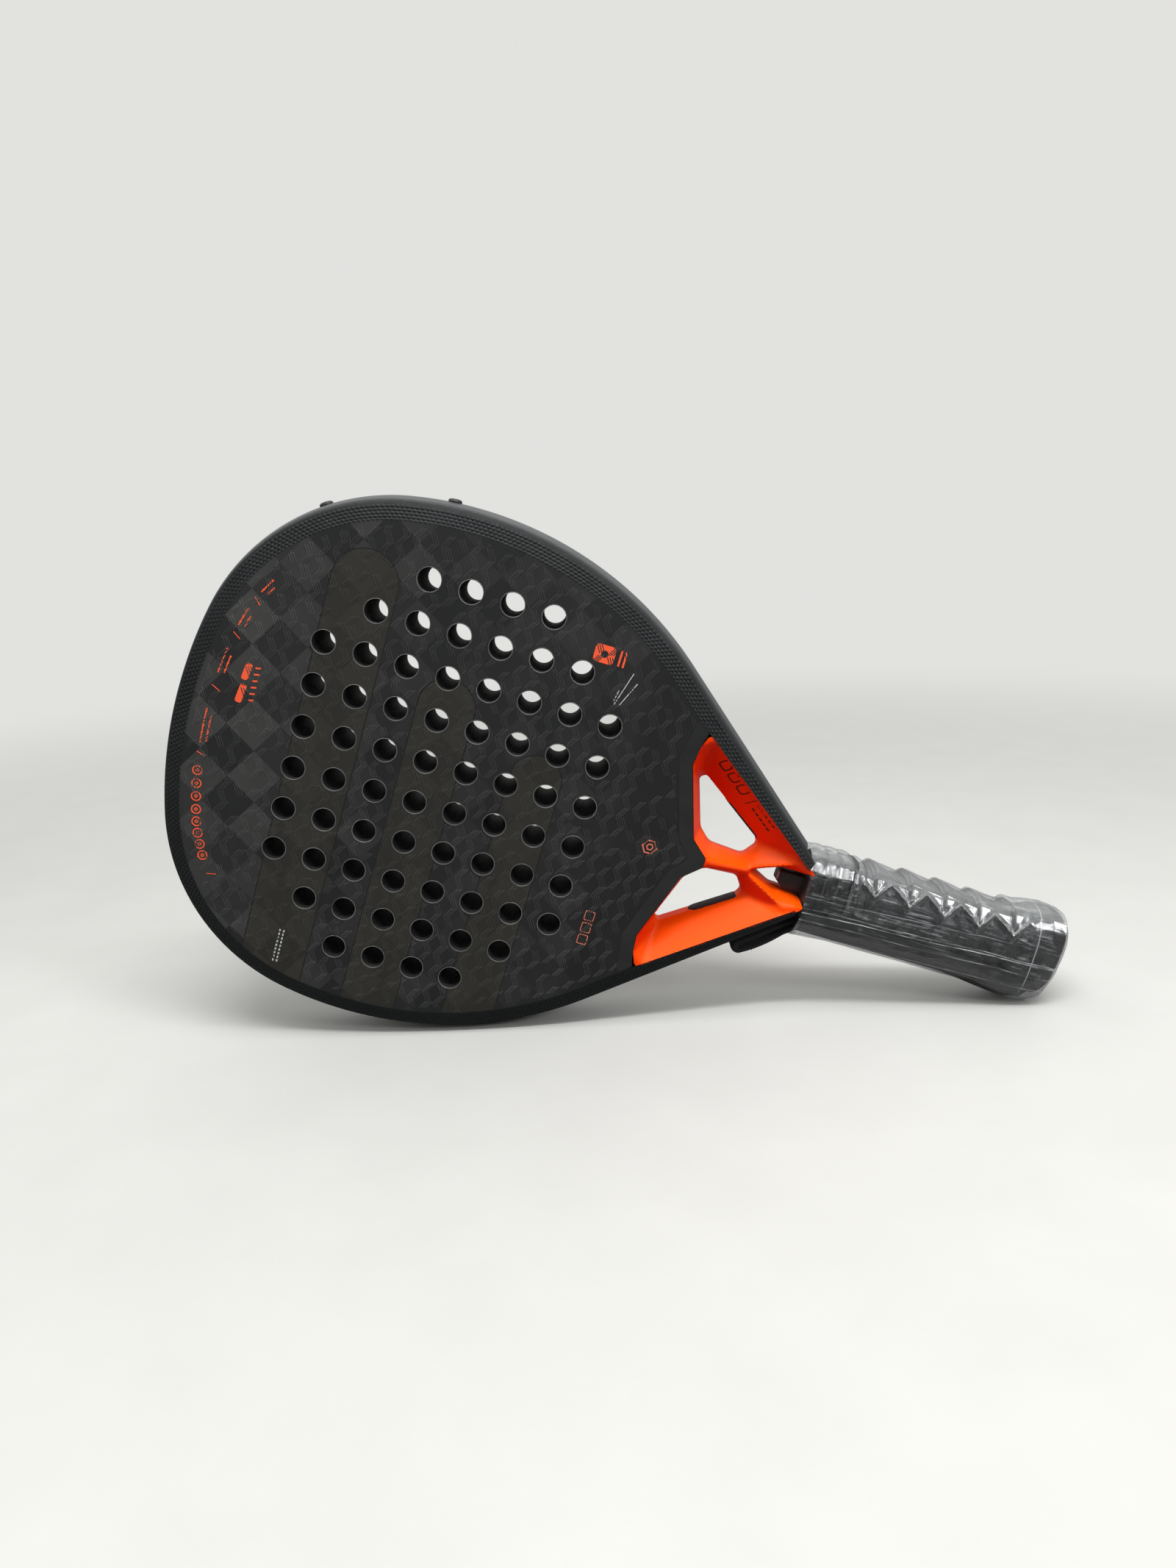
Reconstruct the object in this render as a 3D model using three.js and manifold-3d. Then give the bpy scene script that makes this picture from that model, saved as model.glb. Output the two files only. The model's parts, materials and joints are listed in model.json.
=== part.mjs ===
import * as THREE from 'three';
import { mergeGeometries, mergeVertices } from 'three/addons/utils/BufferGeometryUtils.js';
import Module from 'manifold-3d';

// Padel racket, millimetres. It stands on the lower edge of its head and on its butt, front face towards -Y.
// Pieces are drawn in the racket's own frame: x from the head to the butt, y across the head, z out of the
// front face, with the hole grid centred on the origin and z = 0 halfway through the thickness.

// Overall
const HALF_DEPTH = 19;
const TIP_X = -132.5;
const GAP = 0.3;

// Widest contour of the head: three arcs from the tip, then a straight arm to the handle
const TIP_ARC = { radius: 216, turn: 13.7 };
const SHOULDER_ARC = { radius: 100, turn: 64.5 };
const FLANK_ARC = { radius: 178, turn: 51.3 };
const ARM_END_X = 187.5;
const ARM_TAPER_START_X = 115;
const ARM_TAPER = 0.42;

// Frame cross-section, measured inwards from the widest contour
const BAND_OUTER = 4;
const BAND_INNER = 11.8;
const BAND_DROP = 3;
const GUARD_HALF_HEIGHT = 12;
const GUARD_THICKNESS = 1.2;

// Face and core
const SKIN = 1.2;
const HOLE_PITCH_X = 19.64;
const HOLE_PITCH_Y = 20.55;
const HOLE_RADIUS = 5.75;
const ROW_SPANS = [[2, 5], [1, 6], [0, 7], [0, 7], [0, 7], [0, 7], [0, 7], [0, 7], [1, 6], [2, 5]];
const HOLE_COLUMNS = 8;
const SKIN_HOLE_SIDES = 8;
const CORE_HOLE_SIDES = 6;

// Throat: its edge against the faces (upper half), the see-through windows and the dishes around them
const THROAT_EDGE = [[114.8, 62], [111.9, 46], [123.6, 10.2], [132.4, 2.3]];
const DISH_TOP = [[117.2, 58.6], [112.8, 45.9], [124.3, 10.6], [133, 2.8], [156, 2.8], [181, 12],
  [175.5, 16]];
const WINDOW = [[123.2, 39.2], [120.2, 37], [128, 13.4], [135.4, 6.7], [152.6, 5.5], [158.4, 12.6],
  [156, 15.9]];
const TAIL_DISH_TOP = [[158.6, 0], [180, 9.4], [192, 9.4], [192, -9.4], [180, -9.4]];
const TAIL_WINDOW = [[161, 0], [170.5, 4.6], [192, 6.3], [192, -6.3], [170.5, -4.6]];
const WAIST_HALF_HEIGHT = 2.5;
const DAMPER = { length: 25, width: 3, height: 6.4, centreX: 146.9, centreY: 23.3 };

// Weight kits let into both sides of the head
const KIT_HALF_HEIGHT = 4.2;
const KIT_START = 116;
const KIT_END = 194;
const SCREW_POSITIONS = [125, 185];
const SCREW_HEAD_RADIUS = 3.3;
const SCREW_SHANK_RADIUS = 1.4;

// Handle sections: half width along y, half depth along z
const HANDLE_START = 188;
const TUBE = { y: 14.9, z: 11.7, wall: 2, end: 309 };
const SLEEVE = { y: 17.3, z: 13.7, start: 207.4, end: 308 };
const COLLAR = { y: 18.6, z: 15.4, start: 189.8, end: 207 };
const OVERGRIP_WALL = 1.5;
const OVERGRIP = [[207.4, 19.2, 15.6], [295, 19.2, 15.6], [303, 20.8, 16.6], [311, 22.6, 17.6],
  [317.5, 22, 17.2]];
const BUTT = [[303.4, 12.5, 9.3], [309.4, 12.5, 9.3], [309.4, 19.3, 14.6], [312, 20.7, 15.7],
  [316.5, 20, 15.3], [319.5, 17, 13.4]];
const PLUG_RADIUS = 4;
const PLUG_X = 311.5;

// Wrist strap and the clear sleeve around the whole handle
const STRAP = { thickness: 1.9, gap: 0.8, startAngle: 22, endAngle: 104, startX: 190.5, endX: 294 };
const LOOP = { length: 27, layer: 2.7, slot: 1.6, halfWidth: 9, clearance: 0.8, fromArmEnd: 17.8 };
const ADJUSTER = { start: 173, end: 187.3, halfHeight: 4.2, low: -4, high: 7.7, bevel: 2.2 };
const SLEEVE_WALL = 0.4;
const FILM = [[189.3, -3.6, 23.4, 19.4], [206, -2.6, 22.9, 19.4], [282, -2.6, 22.9, 19.4],
  [301, -3, 25.6, 19.4], [311, -2, 26, 19.4], [318.5, -0.9, 24.2, 18.8], [322.4, 0, 18, 14.5]];

const wasm = await Module();
wasm.setup();

// ---- small geometry tools ----

function solidOf(geometry) {
  const bare = geometry.clone();
  bare.deleteAttribute('normal');
  bare.deleteAttribute('uv');
  const merged = mergeVertices(bare, 1e-4);
  const vertProperties = new Float32Array(merged.attributes.position.array);
  const triVerts = new Uint32Array(merged.index.array);
  return new wasm.Manifold(new wasm.Mesh({ numProp: 3, vertProperties, triVerts }));
}

function geometryOf(solid) {
  const mesh = solid.getMesh();
  const geometry = new THREE.BufferGeometry();
  geometry.setAttribute('position', new THREE.BufferAttribute(new Float32Array(mesh.vertProperties), 3));
  geometry.setIndex(new THREE.BufferAttribute(new Uint32Array(mesh.triVerts), 1));
  geometry.computeVertexNormals();
  return geometry;
}

function cut(geometry, ...cutters) {
  return geometryOf(cutters.reduce((solid, cutter) => solid.subtract(solidOf(cutter)), solidOf(geometry)));
}

// A closed solid through rings of equally many points, capped at its first and last ring
function loft(rings) {
  const size = rings[0].length;
  const positions = rings.flat().flatMap((p) => [p.x, p.y, p.z]);
  const index = [];
  for (let r = 0; r + 1 < rings.length; r++) {
    for (let i = 0; i < size; i++) {
      const a = r * size + i;
      const b = r * size + (i + 1) % size;
      index.push(a, b, a + size, b, b + size, a + size);
    }
  }
  index.push(...capOf(rings[0], 0, true));
  index.push(...capOf(rings[rings.length - 1], (rings.length - 1) * size, false));
  const geometry = new THREE.BufferGeometry();
  geometry.setAttribute('position', new THREE.Float32BufferAttribute(positions, 3));
  geometry.setIndex(volumeOf(positions, index) < 0 ? index.reverse() : index);
  geometry.computeVertexNormals();
  return geometry;
}

// Triangles that close a flat ring. The ring is flattened onto the plane it lies in
function capOf(ring, offset, flip) {
  const origin = ring[0];
  const normal = new THREE.Vector3();
  ring.forEach((p, i) => normal.add(new THREE.Vector3().crossVectors(p, ring[(i + 1) % ring.length])));
  normal.normalize();
  const side = Math.abs(normal.x) < 0.9 ? new THREE.Vector3(1, 0, 0) : new THREE.Vector3(0, 1, 0);
  const u = side.cross(normal).normalize();
  const v = new THREE.Vector3().crossVectors(normal, u);
  const flat = ring.map((p) => {
    const d = p.clone().sub(origin);
    return new THREE.Vector2(d.dot(u), d.dot(v));
  });
  return THREE.ShapeUtils.triangulateShape(flat, [])
    .flatMap((t) => (flip ? [t[0], t[2], t[1]] : t).map((i) => i + offset));
}

function volumeOf(positions, index) {
  const at = (i) => new THREE.Vector3(positions[3 * i], positions[3 * i + 1], positions[3 * i + 2]);
  let sum = 0;
  for (let i = 0; i < index.length; i += 3) sum += at(index[i]).dot(at(index[i + 1]).cross(at(index[i + 2])));
  return sum;
}

// An upright prism over an outline given as [x, y] pairs
function prism(outline, low, high) {
  return loft([low, high].map((z) => outline.map(([x, y]) => new THREE.Vector3(x, y, z))));
}

function mirrored(outline) {
  return outline.map(([x, y]) => [x, -y]).reverse();
}

function boxAt(sizeX, sizeY, sizeZ, x, y, z, turn = 0) {
  return new THREE.BoxGeometry(sizeX, sizeY, sizeZ).rotateZ(turn).translate(x, y, z);
}

// ---- the rail: the widest contour of the head and arms ----

// Point and inward normal at a distance along the contour from the tip; a negative distance is the lower half
function railAt(distance) {
  let left = Math.abs(distance);
  let x = TIP_X;
  let y = 0;
  let heading = Math.PI / 2;
  for (const { radius, turn } of [TIP_ARC, SHOULDER_ARC, FLANK_ARC]) {
    const full = THREE.MathUtils.degToRad(turn);
    const angle = Math.min(full, left / radius);
    x += radius * (Math.sin(heading) - Math.sin(heading - angle));
    y += radius * (Math.cos(heading - angle) - Math.cos(heading));
    heading -= angle;
    left -= angle * radius;
  }
  x += Math.max(0, left) * Math.cos(heading);
  y += Math.max(0, left) * Math.sin(heading);
  const side = distance < 0 ? -1 : 1;
  return { x, y: side * y, nx: Math.sin(heading), ny: -side * Math.cos(heading) };
}

const RAIL_ARC_LENGTH = [TIP_ARC, SHOULDER_ARC, FLANK_ARC]
  .reduce((sum, arc) => sum + arc.radius * THREE.MathUtils.degToRad(arc.turn), 0);
const RAIL_END = RAIL_ARC_LENGTH + 122;

function railDistances(from, to, step) {
  const count = Math.ceil((to - from) / step);
  return Array.from({ length: count + 1 }, (_, i) => from + (to - from) * i / count);
}

// Distances for the whole rail: even steps round the arcs and a few along each straight arm
function wholeRail(end = RAIL_END) {
  const arcs = railDistances(0, RAIL_ARC_LENGTH, 18);
  const half = [...arcs, ...railDistances(RAIL_ARC_LENGTH, end, 30).slice(1)];
  return [...half.slice(1).map((d) => -d).reverse(), ...half];
}

// The band inside BAND_OUTER narrows along the arms
function railPoint(distance, inset, z) {
  const { x, y, nx, ny } = railAt(distance);
  const along = THREE.MathUtils.clamp((x - ARM_TAPER_START_X) / (ARM_END_X - ARM_TAPER_START_X), 0, 1.1);
  const extra = Math.max(0, inset - BAND_OUTER) * (1 - (1 - ARM_TAPER) * along);
  const total = Math.min(inset, BAND_OUTER) + extra;
  return new THREE.Vector3(x + nx * total, y + ny * total, z);
}

function sweep(distances, profile) {
  return loft(distances.map((d) => profile.map(([inset, z]) => railPoint(d, inset, z))));
}

// The side wall bulges: its inset grows with the square of the height
function bulge(z) {
  return BAND_OUTER * (z / (HALF_DEPTH - BAND_DROP)) ** 2;
}

// ---- head ----

function frameProfile() {
  const guardTop = GUARD_HALF_HEIGHT + GAP;
  const floor = [guardTop, 6, 0, -6, -guardTop].map((z) => [bulge(z) + GUARD_THICKNESS + GAP, z]);
  return [
    [BAND_INNER, HALF_DEPTH], [BAND_OUTER, HALF_DEPTH - BAND_DROP], [bulge(guardTop), guardTop], ...floor,
    [bulge(guardTop), -guardTop], [BAND_OUTER, BAND_DROP - HALF_DEPTH], [BAND_INNER, -HALF_DEPTH],
  ];
}

const BORE_PROFILE = [[3.4, 0], [4.9, 10], [7.4, 14.2], [10.2, 15.4], [10.2, -15.4], [7.4, -14.2],
  [4.9, -10]];

function headFrame() {
  const beyondArms = boxAt(60, 200, 60, ARM_END_X + 30, 0, 0);
  const slots = [1, -1].map((side) => kitSweep(side, -1, 6, KIT_HALF_HEIGHT + GAP, GAP));
  const bore = sweep(wholeRail(RAIL_END + 6), BORE_PROFILE);
  return cut(sweep(wholeRail(), frameProfile()), bore, beyondArms, ...slots);
}

function edgeGuard() {
  const heights = [12, 6, 0, -6, -12];
  const outside = heights.map((z) => [bulge(z), z]);
  const inside = heights.map((z) => [bulge(z) + GUARD_THICKNESS, z]).reverse();
  const strip = sweep(wholeRail(RAIL_ARC_LENGTH + 106), [...outside, ...inside]);
  return cut(strip, ...screwHoles());
}

function faceOutline() {
  const head = wholeRail().filter((d) => railAt(d).x < THROAT_EDGE[0][0] - 6);
  const round = head.map((d) => railPoint(d, BAND_INNER + GAP, 0)).map((p) => [p.x, p.y]);
  const edge = THROAT_EDGE.map(([x, y], i) => [x - GAP, i === 0 ? y - 0.7 : y]);
  return [...mirrored(edge), ...round, ...edge];
}

function drillAt(x, y, sides) {
  const drill = new THREE.CylinderGeometry(HOLE_RADIUS, HOLE_RADIUS, 60, sides);
  return drill.rotateX(Math.PI / 2).translate(x, y, 0);
}

function holeBundle(sides) {
  const middle = (HOLE_COLUMNS - 1) / 2;
  const holes = ROW_SPANS.flatMap(([first, last], row) => {
    const y = ((ROW_SPANS.length - 1) / 2 - row) * HOLE_PITCH_Y;
    const columns = Array.from({ length: last - first + 1 }, (_, i) => first + i);
    return columns.map((column) => drillAt((column - middle) * HOLE_PITCH_X, y, sides));
  });
  return mergeGeometries(holes);
}

function drilledSlab(low, high, sides) {
  return cut(prism(faceOutline(), low, high), holeBundle(sides));
}

// ---- throat ----

function hourglass(top, window) {
  const high = HALF_DEPTH + 0.5;
  const ring = (outline, z) => outline.map(([x, y]) => new THREE.Vector3(x, y, z));
  const waist = [WAIST_HALF_HEIGHT, -WAIST_HALF_HEIGHT].map((z) => ring(window, z));
  return loft([ring(top, high), ...waist, ring(top, -high)]);
}

function throatOutline() {
  const tail = railDistances(RAIL_ARC_LENGTH + 18, RAIL_END, 10)
    .map((d) => railPoint(d, BAND_INNER, 0)).map((p) => [p.x, p.y - GAP * 1.3]);
  const arm = tail.filter(([x]) => x > THROAT_EDGE[0][0] + 2 && x < ARM_END_X - 2);
  const last = arm[arm.length - 1];
  const slope = (last[1] - arm[0][1]) / (last[0] - arm[0][0]);
  const upper = [...arm].reverse().concat(THROAT_EDGE.map(([x, y], i) => [x + 0.1, i === 0 ? y - 1.6 : y]));
  const end = [ARM_END_X - GAP, last[1] + slope * (ARM_END_X - GAP - last[0])];
  const half = [end, ...upper];
  return [...half, ...mirrored(half)];
}

function damperBlock(side, spare) {
  const [a, , , , , , b] = WINDOW;
  const turn = side * Math.atan2(b[1] - a[1], b[0] - a[0]);
  const { length, width, height, centreX, centreY } = DAMPER;
  return boxAt(length + 2 * spare, width + 2 * spare, height + 2 * spare, centreX, side * centreY, 0, turn);
}

function throatBridge() {
  return cut(
    prism(throatOutline(), GAP - HALF_DEPTH, HALF_DEPTH - GAP),
    hourglass(DISH_TOP, WINDOW),
    hourglass(mirrored(DISH_TOP), mirrored(WINDOW)),
    hourglass(TAIL_DISH_TOP, TAIL_WINDOW),
    damperBlock(1, GAP),
    damperBlock(-1, GAP),
  );
}

// ---- weight kits ----

function kitSweep(side, near, far, halfHeight, spare = 0) {
  const distances = railDistances(KIT_START - spare, KIT_END + spare, 13).map((d) => side * d);
  return sweep(distances, [[near, halfHeight], [near, -halfHeight], [far, -halfHeight], [far, halfHeight]]);
}

// A cylinder whose axis runs straight into the frame at a place on the rail
function studAt(distance, radius, from, to, sides = 10) {
  const { x, y, nx, ny } = railAt(distance);
  const middle = (from + to) / 2;
  return new THREE.CylinderGeometry(radius, radius, to - from, sides)
    .rotateZ(Math.atan2(ny, nx) - Math.PI / 2)
    .translate(x + nx * middle, y + ny * middle, 0);
}

function screwPlaces() {
  return [1, -1].flatMap((side) => SCREW_POSITIONS.map((d) => side * d));
}

function screwHoles() {
  return screwPlaces().map((d) => studAt(d, SCREW_SHANK_RADIUS + GAP, -2, 9));
}

function weightCarrier(side) {
  return cut(kitSweep(side, 2.1, 4.5, KIT_HALF_HEIGHT), ...screwHoles());
}

function weightBar(side) {
  return cut(kitSweep(side, 4.9, 8.2, 3.4, -2), ...screwHoles());
}

function weightScrew(distance) {
  const head = solidOf(studAt(distance, SCREW_HEAD_RADIUS, -1.7, -0.35, 12));
  const shank = solidOf(studAt(distance, SCREW_SHANK_RADIUS, -0.8, 7.6, 8));
  const slot = solidOf(slotAt(distance));
  return geometryOf(head.add(shank).subtract(slot));
}

function slotAt(distance) {
  const { x, y, nx, ny } = railAt(distance);
  return boxAt(1.4, 0.9, 9, x - nx * 1.8, y - ny * 1.8, 0, Math.atan2(ny, nx));
}

// ---- handle ----

// A rounded-rectangle section across the handle
function section(x, halfY, halfZ, centreY = 0, points = 16) {
  return Array.from({ length: points }, (_, i) => {
    const a = 2 * Math.PI * (i + 0.5) / points;
    return new THREE.Vector3(x, centreY + halfY * rounded(Math.cos(a)), halfZ * rounded(Math.sin(a)));
  });
}

function rounded(value) {
  return Math.sign(value) * Math.abs(value) ** 0.72;
}

function handleSolid(stations, shrink = 0) {
  return loft(stations.map(([x, y, z]) => section(x, y - shrink, z - shrink)));
}

function handlePipe(start, end, outerY, outerZ, innerY, innerZ) {
  const outside = handleSolid([[start, outerY, outerZ], [end, outerY, outerZ]]);
  return cut(outside, handleSolid([[start - 1, innerY, innerZ], [end + 1, innerY, innerZ]]));
}

function handleTube() {
  return handlePipe(HANDLE_START, TUBE.end, TUBE.y, TUBE.z, TUBE.y - TUBE.wall, TUBE.z - TUBE.wall);
}

function handleFoam() {
  const y = TUBE.y - TUBE.wall - GAP;
  const z = TUBE.z - TUBE.wall - GAP;
  return handleSolid([[HANDLE_START + 2, y, z], [BUTT[0][0] - 1, y, z]]);
}

// The wrap is open at both ends, so its inside runs past its first and last stations
function overgrip() {
  const [start, ...rest] = OVERGRIP;
  const last = rest[rest.length - 1];
  const beyond = (station, step) => [station[0] + step, station[1], station[2]];
  const inside = handleSolid([beyond(start, -1), ...rest, beyond(last, 1)], OVERGRIP_WALL);
  return cut(handleSolid(OVERGRIP), inside);
}

function lengthwiseCylinder(radius, length, centreX) {
  return new THREE.CylinderGeometry(radius, radius, length, 16).rotateZ(Math.PI / 2).translate(centreX, 0, 0);
}

function buttCap() {
  return cut(handleSolid(BUTT), lengthwiseCylinder(PLUG_RADIUS + GAP, 40, PLUG_X));
}

// The cross hole through the plug that the strap's cord passes
function cordEye() {
  return new THREE.CylinderGeometry(1.5, 1.5, 20, 8).rotateX(Math.PI / 2).translate(PLUG_X - 4, 0, 0);
}

function strapPlug() {
  return cut(lengthwiseCylinder(PLUG_RADIUS, 14, PLUG_X), cordEye());
}

// ---- strap, adjuster and film ----

// The strap hugs the front and the underside of the grip
function wristStrap() {
  const steps = 7;
  const arc = (halfY, halfZ, x, back) => Array.from({ length: steps }, (_, i) => {
    const t = back ? 1 - i / (steps - 1) : i / (steps - 1);
    const a = THREE.MathUtils.degToRad(THREE.MathUtils.lerp(STRAP.startAngle, STRAP.endAngle, t));
    return new THREE.Vector3(x, -halfY * rounded(Math.sin(a)), halfZ * rounded(Math.cos(a)));
  });
  const ring = (x) => {
    const y = OVERGRIP[0][1] + STRAP.gap;
    const z = OVERGRIP[0][2] + STRAP.gap;
    return [...arc(y + STRAP.thickness, z + STRAP.thickness, x, false), ...arc(y, z, x, true)];
  };
  return loft([ring(STRAP.startX), ring(STRAP.endX)]);
}

// The strap's free end, folded back on itself below the lower arm
function strapLoopOutline() {
  const deep = 2 * LOOP.layer + LOOP.slot;
  const nose = deep / 2;
  const outer = Array.from({ length: 9 }, (_, i) => {
    const a = Math.PI * (i / 8 - 0.5);
    return [LOOP.length - nose + nose * Math.cos(a), nose + nose * Math.sin(a)];
  });
  const slotEnd = LOOP.length - nose;
  const slotTop = deep - LOOP.layer;
  return [[0, 0], ...outer, [0, deep], [0, slotTop], [slotEnd, slotTop], [slotEnd, LOOP.layer], [0, LOOP.layer]];
}

function strapLoop() {
  const { x, y, nx, ny } = railAt(LOOP.fromArmEnd - RAIL_END);
  const loop = prism(strapLoopOutline(), -LOOP.halfWidth, LOOP.halfWidth);
  const towardsHead = Math.atan2(nx, -ny);
  return loop.rotateZ(towardsHead).translate(x - nx * LOOP.clearance, y - ny * LOOP.clearance, 0);
}

function strapAdjuster() {
  const { start, end, halfHeight, low, high, bevel } = ADJUSTER;
  const outline = [[end, -halfHeight], [end, halfHeight], [start, halfHeight], [start, bevel - halfHeight],
    [start + bevel * 1.4, -halfHeight]];
  const strapSlot = boxAt(60, 5.4, 2.4, start + 10, 0, 1.8);
  return cut(prism(outline, low, high), strapSlot);
}

function filmSleeve() {
  const ring = ([x, centreY, y, z], shrink) => section(x, y - shrink, z - shrink, centreY, 20);
  const inner = FILM.map((station) => ring(station, SLEEVE_WALL));
  const mouth = ring([FILM[0][0] - 1, ...FILM[0].slice(1)], SLEEVE_WALL);
  const last = FILM[FILM.length - 1];
  inner[inner.length - 1] = ring([last[0] - SLEEVE_WALL, ...last.slice(1)], SLEEVE_WALL);
  return cut(loft(FILM.map((station) => ring(station, 0))), loft([mouth, ...inner]));
}

// ---- assembly ----

const finish = {
  carbon: new THREE.MeshStandardMaterial({ color: 0x1d1f21, roughness: 0.45, metalness: 0.1 }),
  face: new THREE.MeshStandardMaterial({ color: 0x26272a, roughness: 0.5, metalness: 0.1 }),
  orange: new THREE.MeshStandardMaterial({ color: 0xff4a12, roughness: 0.4, metalness: 0 }),
  foam: new THREE.MeshStandardMaterial({ color: 0x0f0f10, roughness: 0.95, metalness: 0 }),
  guard: new THREE.MeshStandardMaterial({ color: 0x3b4046, roughness: 0.4, metalness: 0 }),
  rubber: new THREE.MeshStandardMaterial({ color: 0x141414, roughness: 0.85, metalness: 0 }),
  plastic: new THREE.MeshStandardMaterial({ color: 0x18191b, roughness: 0.6, metalness: 0 }),
  steel: new THREE.MeshStandardMaterial({ color: 0x8c9094, roughness: 0.35, metalness: 1 }),
  grip: new THREE.MeshStandardMaterial({ color: 0x202122, roughness: 0.8, metalness: 0 }),
  webbing: new THREE.MeshStandardMaterial({ color: 0x0c0c0d, roughness: 0.95, metalness: 0 }),
  film: new THREE.MeshStandardMaterial({
    color: 0xe8eef2, roughness: 0.08, metalness: 0, transparent: true, opacity: 0.25,
  }),
};

const racket = new THREE.Group();

function piece(name, geometry, material) {
  const mesh = new THREE.Mesh(geometry, material);
  mesh.name = name;
  racket.add(mesh);
}

piece('head_frame', headFrame(), finish.carbon);
piece('edge_guard', edgeGuard(), finish.guard);
piece('front_face', drilledSlab(HALF_DEPTH - SKIN, HALF_DEPTH, SKIN_HOLE_SIDES), finish.face);
piece('rear_face', drilledSlab(-HALF_DEPTH, SKIN - HALF_DEPTH, SKIN_HOLE_SIDES), finish.face);
piece('core_front_layer', drilledSlab(GAP / 2, HALF_DEPTH - SKIN - GAP, CORE_HOLE_SIDES), finish.foam);
piece('core_rear_layer', drilledSlab(SKIN + GAP - HALF_DEPTH, -GAP / 2, CORE_HOLE_SIDES), finish.foam);
piece('throat_bridge', throatBridge(), finish.orange);
piece('damper_upper', damperBlock(1, 0), finish.rubber);
piece('damper_lower', damperBlock(-1, 0), finish.rubber);
piece('weight_carrier_upper', weightCarrier(1), finish.plastic);
piece('weight_carrier_lower', weightCarrier(-1), finish.plastic);
piece('weight_bar_upper', weightBar(1), finish.steel);
piece('weight_bar_lower', weightBar(-1), finish.steel);
screwPlaces().forEach((distance, i) => piece(`weight_screw_${i + 1}`, weightScrew(distance), finish.plastic));
piece('handle_tube', handleTube(), finish.carbon);
piece('handle_foam', handleFoam(), finish.foam);
piece('grip_sleeve', handlePipe(SLEEVE.start, SLEEVE.end, SLEEVE.y, SLEEVE.z, TUBE.y + GAP, TUBE.z + GAP),
  finish.rubber);
piece('grip_collar', handlePipe(COLLAR.start, COLLAR.end, COLLAR.y, COLLAR.z, TUBE.y + GAP, TUBE.z + GAP),
  finish.rubber);
piece('overgrip', overgrip(), finish.grip);
piece('butt_cap', buttCap(), finish.plastic);
piece('strap_plug', strapPlug(), finish.plastic);
piece('wrist_strap', wristStrap(), finish.webbing);
piece('strap_loop', strapLoop(), finish.webbing);
piece('strap_adjuster', strapAdjuster(), finish.plastic);
piece('film_sleeve', filmSleeve(), finish.film);

// ---- how the racket stands ----

// The lowest corner of the wrapped butt, and the tilt at which the head touches the floor as well
function restTilt() {
  const butt = FILM.map(([x, centreY, y]) => [x, centreY - y]);
  const head = wholeRail().filter((d) => d < 0).map(railAt);
  const tilts = butt.map(([bx, by]) => Math.max(...head.map((p) => Math.atan2(by - p.y, bx - p.x))));
  return Math.min(...tilts);
}

racket.rotation.x = Math.PI / 2;
const leaning = new THREE.Group();
leaning.rotation.y = restTilt();
leaning.add(racket);
const standing = new THREE.Group();
standing.add(leaning);
const box = new THREE.Box3().setFromObject(standing, true);
const middle = box.getCenter(new THREE.Vector3());
standing.position.set(-middle.x, -middle.y, -box.min.z);

export default standing;
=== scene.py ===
import json
import math
import random

import bmesh
import bpy
import numpy as np
from mathutils import Matrix, Vector, geometry, noise


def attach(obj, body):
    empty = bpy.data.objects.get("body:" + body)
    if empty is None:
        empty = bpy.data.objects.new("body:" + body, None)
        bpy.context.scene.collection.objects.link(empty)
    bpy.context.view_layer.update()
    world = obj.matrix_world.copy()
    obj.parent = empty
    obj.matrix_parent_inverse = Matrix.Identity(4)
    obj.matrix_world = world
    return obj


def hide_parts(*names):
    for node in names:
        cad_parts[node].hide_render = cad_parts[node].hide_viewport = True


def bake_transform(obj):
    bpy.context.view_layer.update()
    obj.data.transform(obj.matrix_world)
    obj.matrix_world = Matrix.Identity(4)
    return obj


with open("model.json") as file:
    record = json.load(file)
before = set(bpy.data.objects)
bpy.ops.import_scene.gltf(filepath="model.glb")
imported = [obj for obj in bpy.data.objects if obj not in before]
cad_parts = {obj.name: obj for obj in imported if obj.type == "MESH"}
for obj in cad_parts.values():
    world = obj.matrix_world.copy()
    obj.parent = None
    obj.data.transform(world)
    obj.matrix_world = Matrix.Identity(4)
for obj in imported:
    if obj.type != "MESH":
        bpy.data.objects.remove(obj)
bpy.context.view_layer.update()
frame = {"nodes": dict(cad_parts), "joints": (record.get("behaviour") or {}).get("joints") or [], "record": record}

# A padel racket. Shapes are drawn in the racket's own frame in millimetres: x from the head to the butt, y
# across the head, z out of the front face, with the hole grid centred on the origin. to_row() moves them into
# the shared frame.

MM = 0.001
HALF_DEPTH = 19.0
MOUNTS = {mount["name"]: mount for mount in frame["record"]["mounts"]}
JOINTS = {joint["name"]: joint for joint in frame["joints"]}
AXIS_X = Vector(JOINTS["adjuster_slide"]["axis"]).normalized()
AXIS_Z = Vector(MOUNTS["front_rest_face"]["axis"]).normalized()
AXIS_Y = AXIS_Z.cross(AXIS_X)
AXES = np.array([AXIS_X, AXIS_Y, AXIS_Z])
ORIGIN = np.array(MOUNTS["front_rest_face"]["pos_m"]) - np.array(AXIS_Z) * HALF_DEPTH * MM

# Widest contour: arcs of (radius, turn in degrees) from the tip, then a straight arm
TIP_X = -132.5
ARCS = ((216.0, 13.7), (100.0, 64.5), (178.0, 51.3))
ARM_LENGTH = 122.0
ARM_END_X = 187.5
ARM_TAPER_START_X = 115.0
ARM_TAPER = 0.42

# Frame section, measured inwards from the contour
BAND_OUTER = 4.0
BAND_INNER = 11.8
BAND_DROP = 3.0
GUARD_HALF_HEIGHT = 12.0
GUARD_THICKNESS = 1.2
GUARD_ALONG_ARM = 106.0
GAP = 0.3

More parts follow.
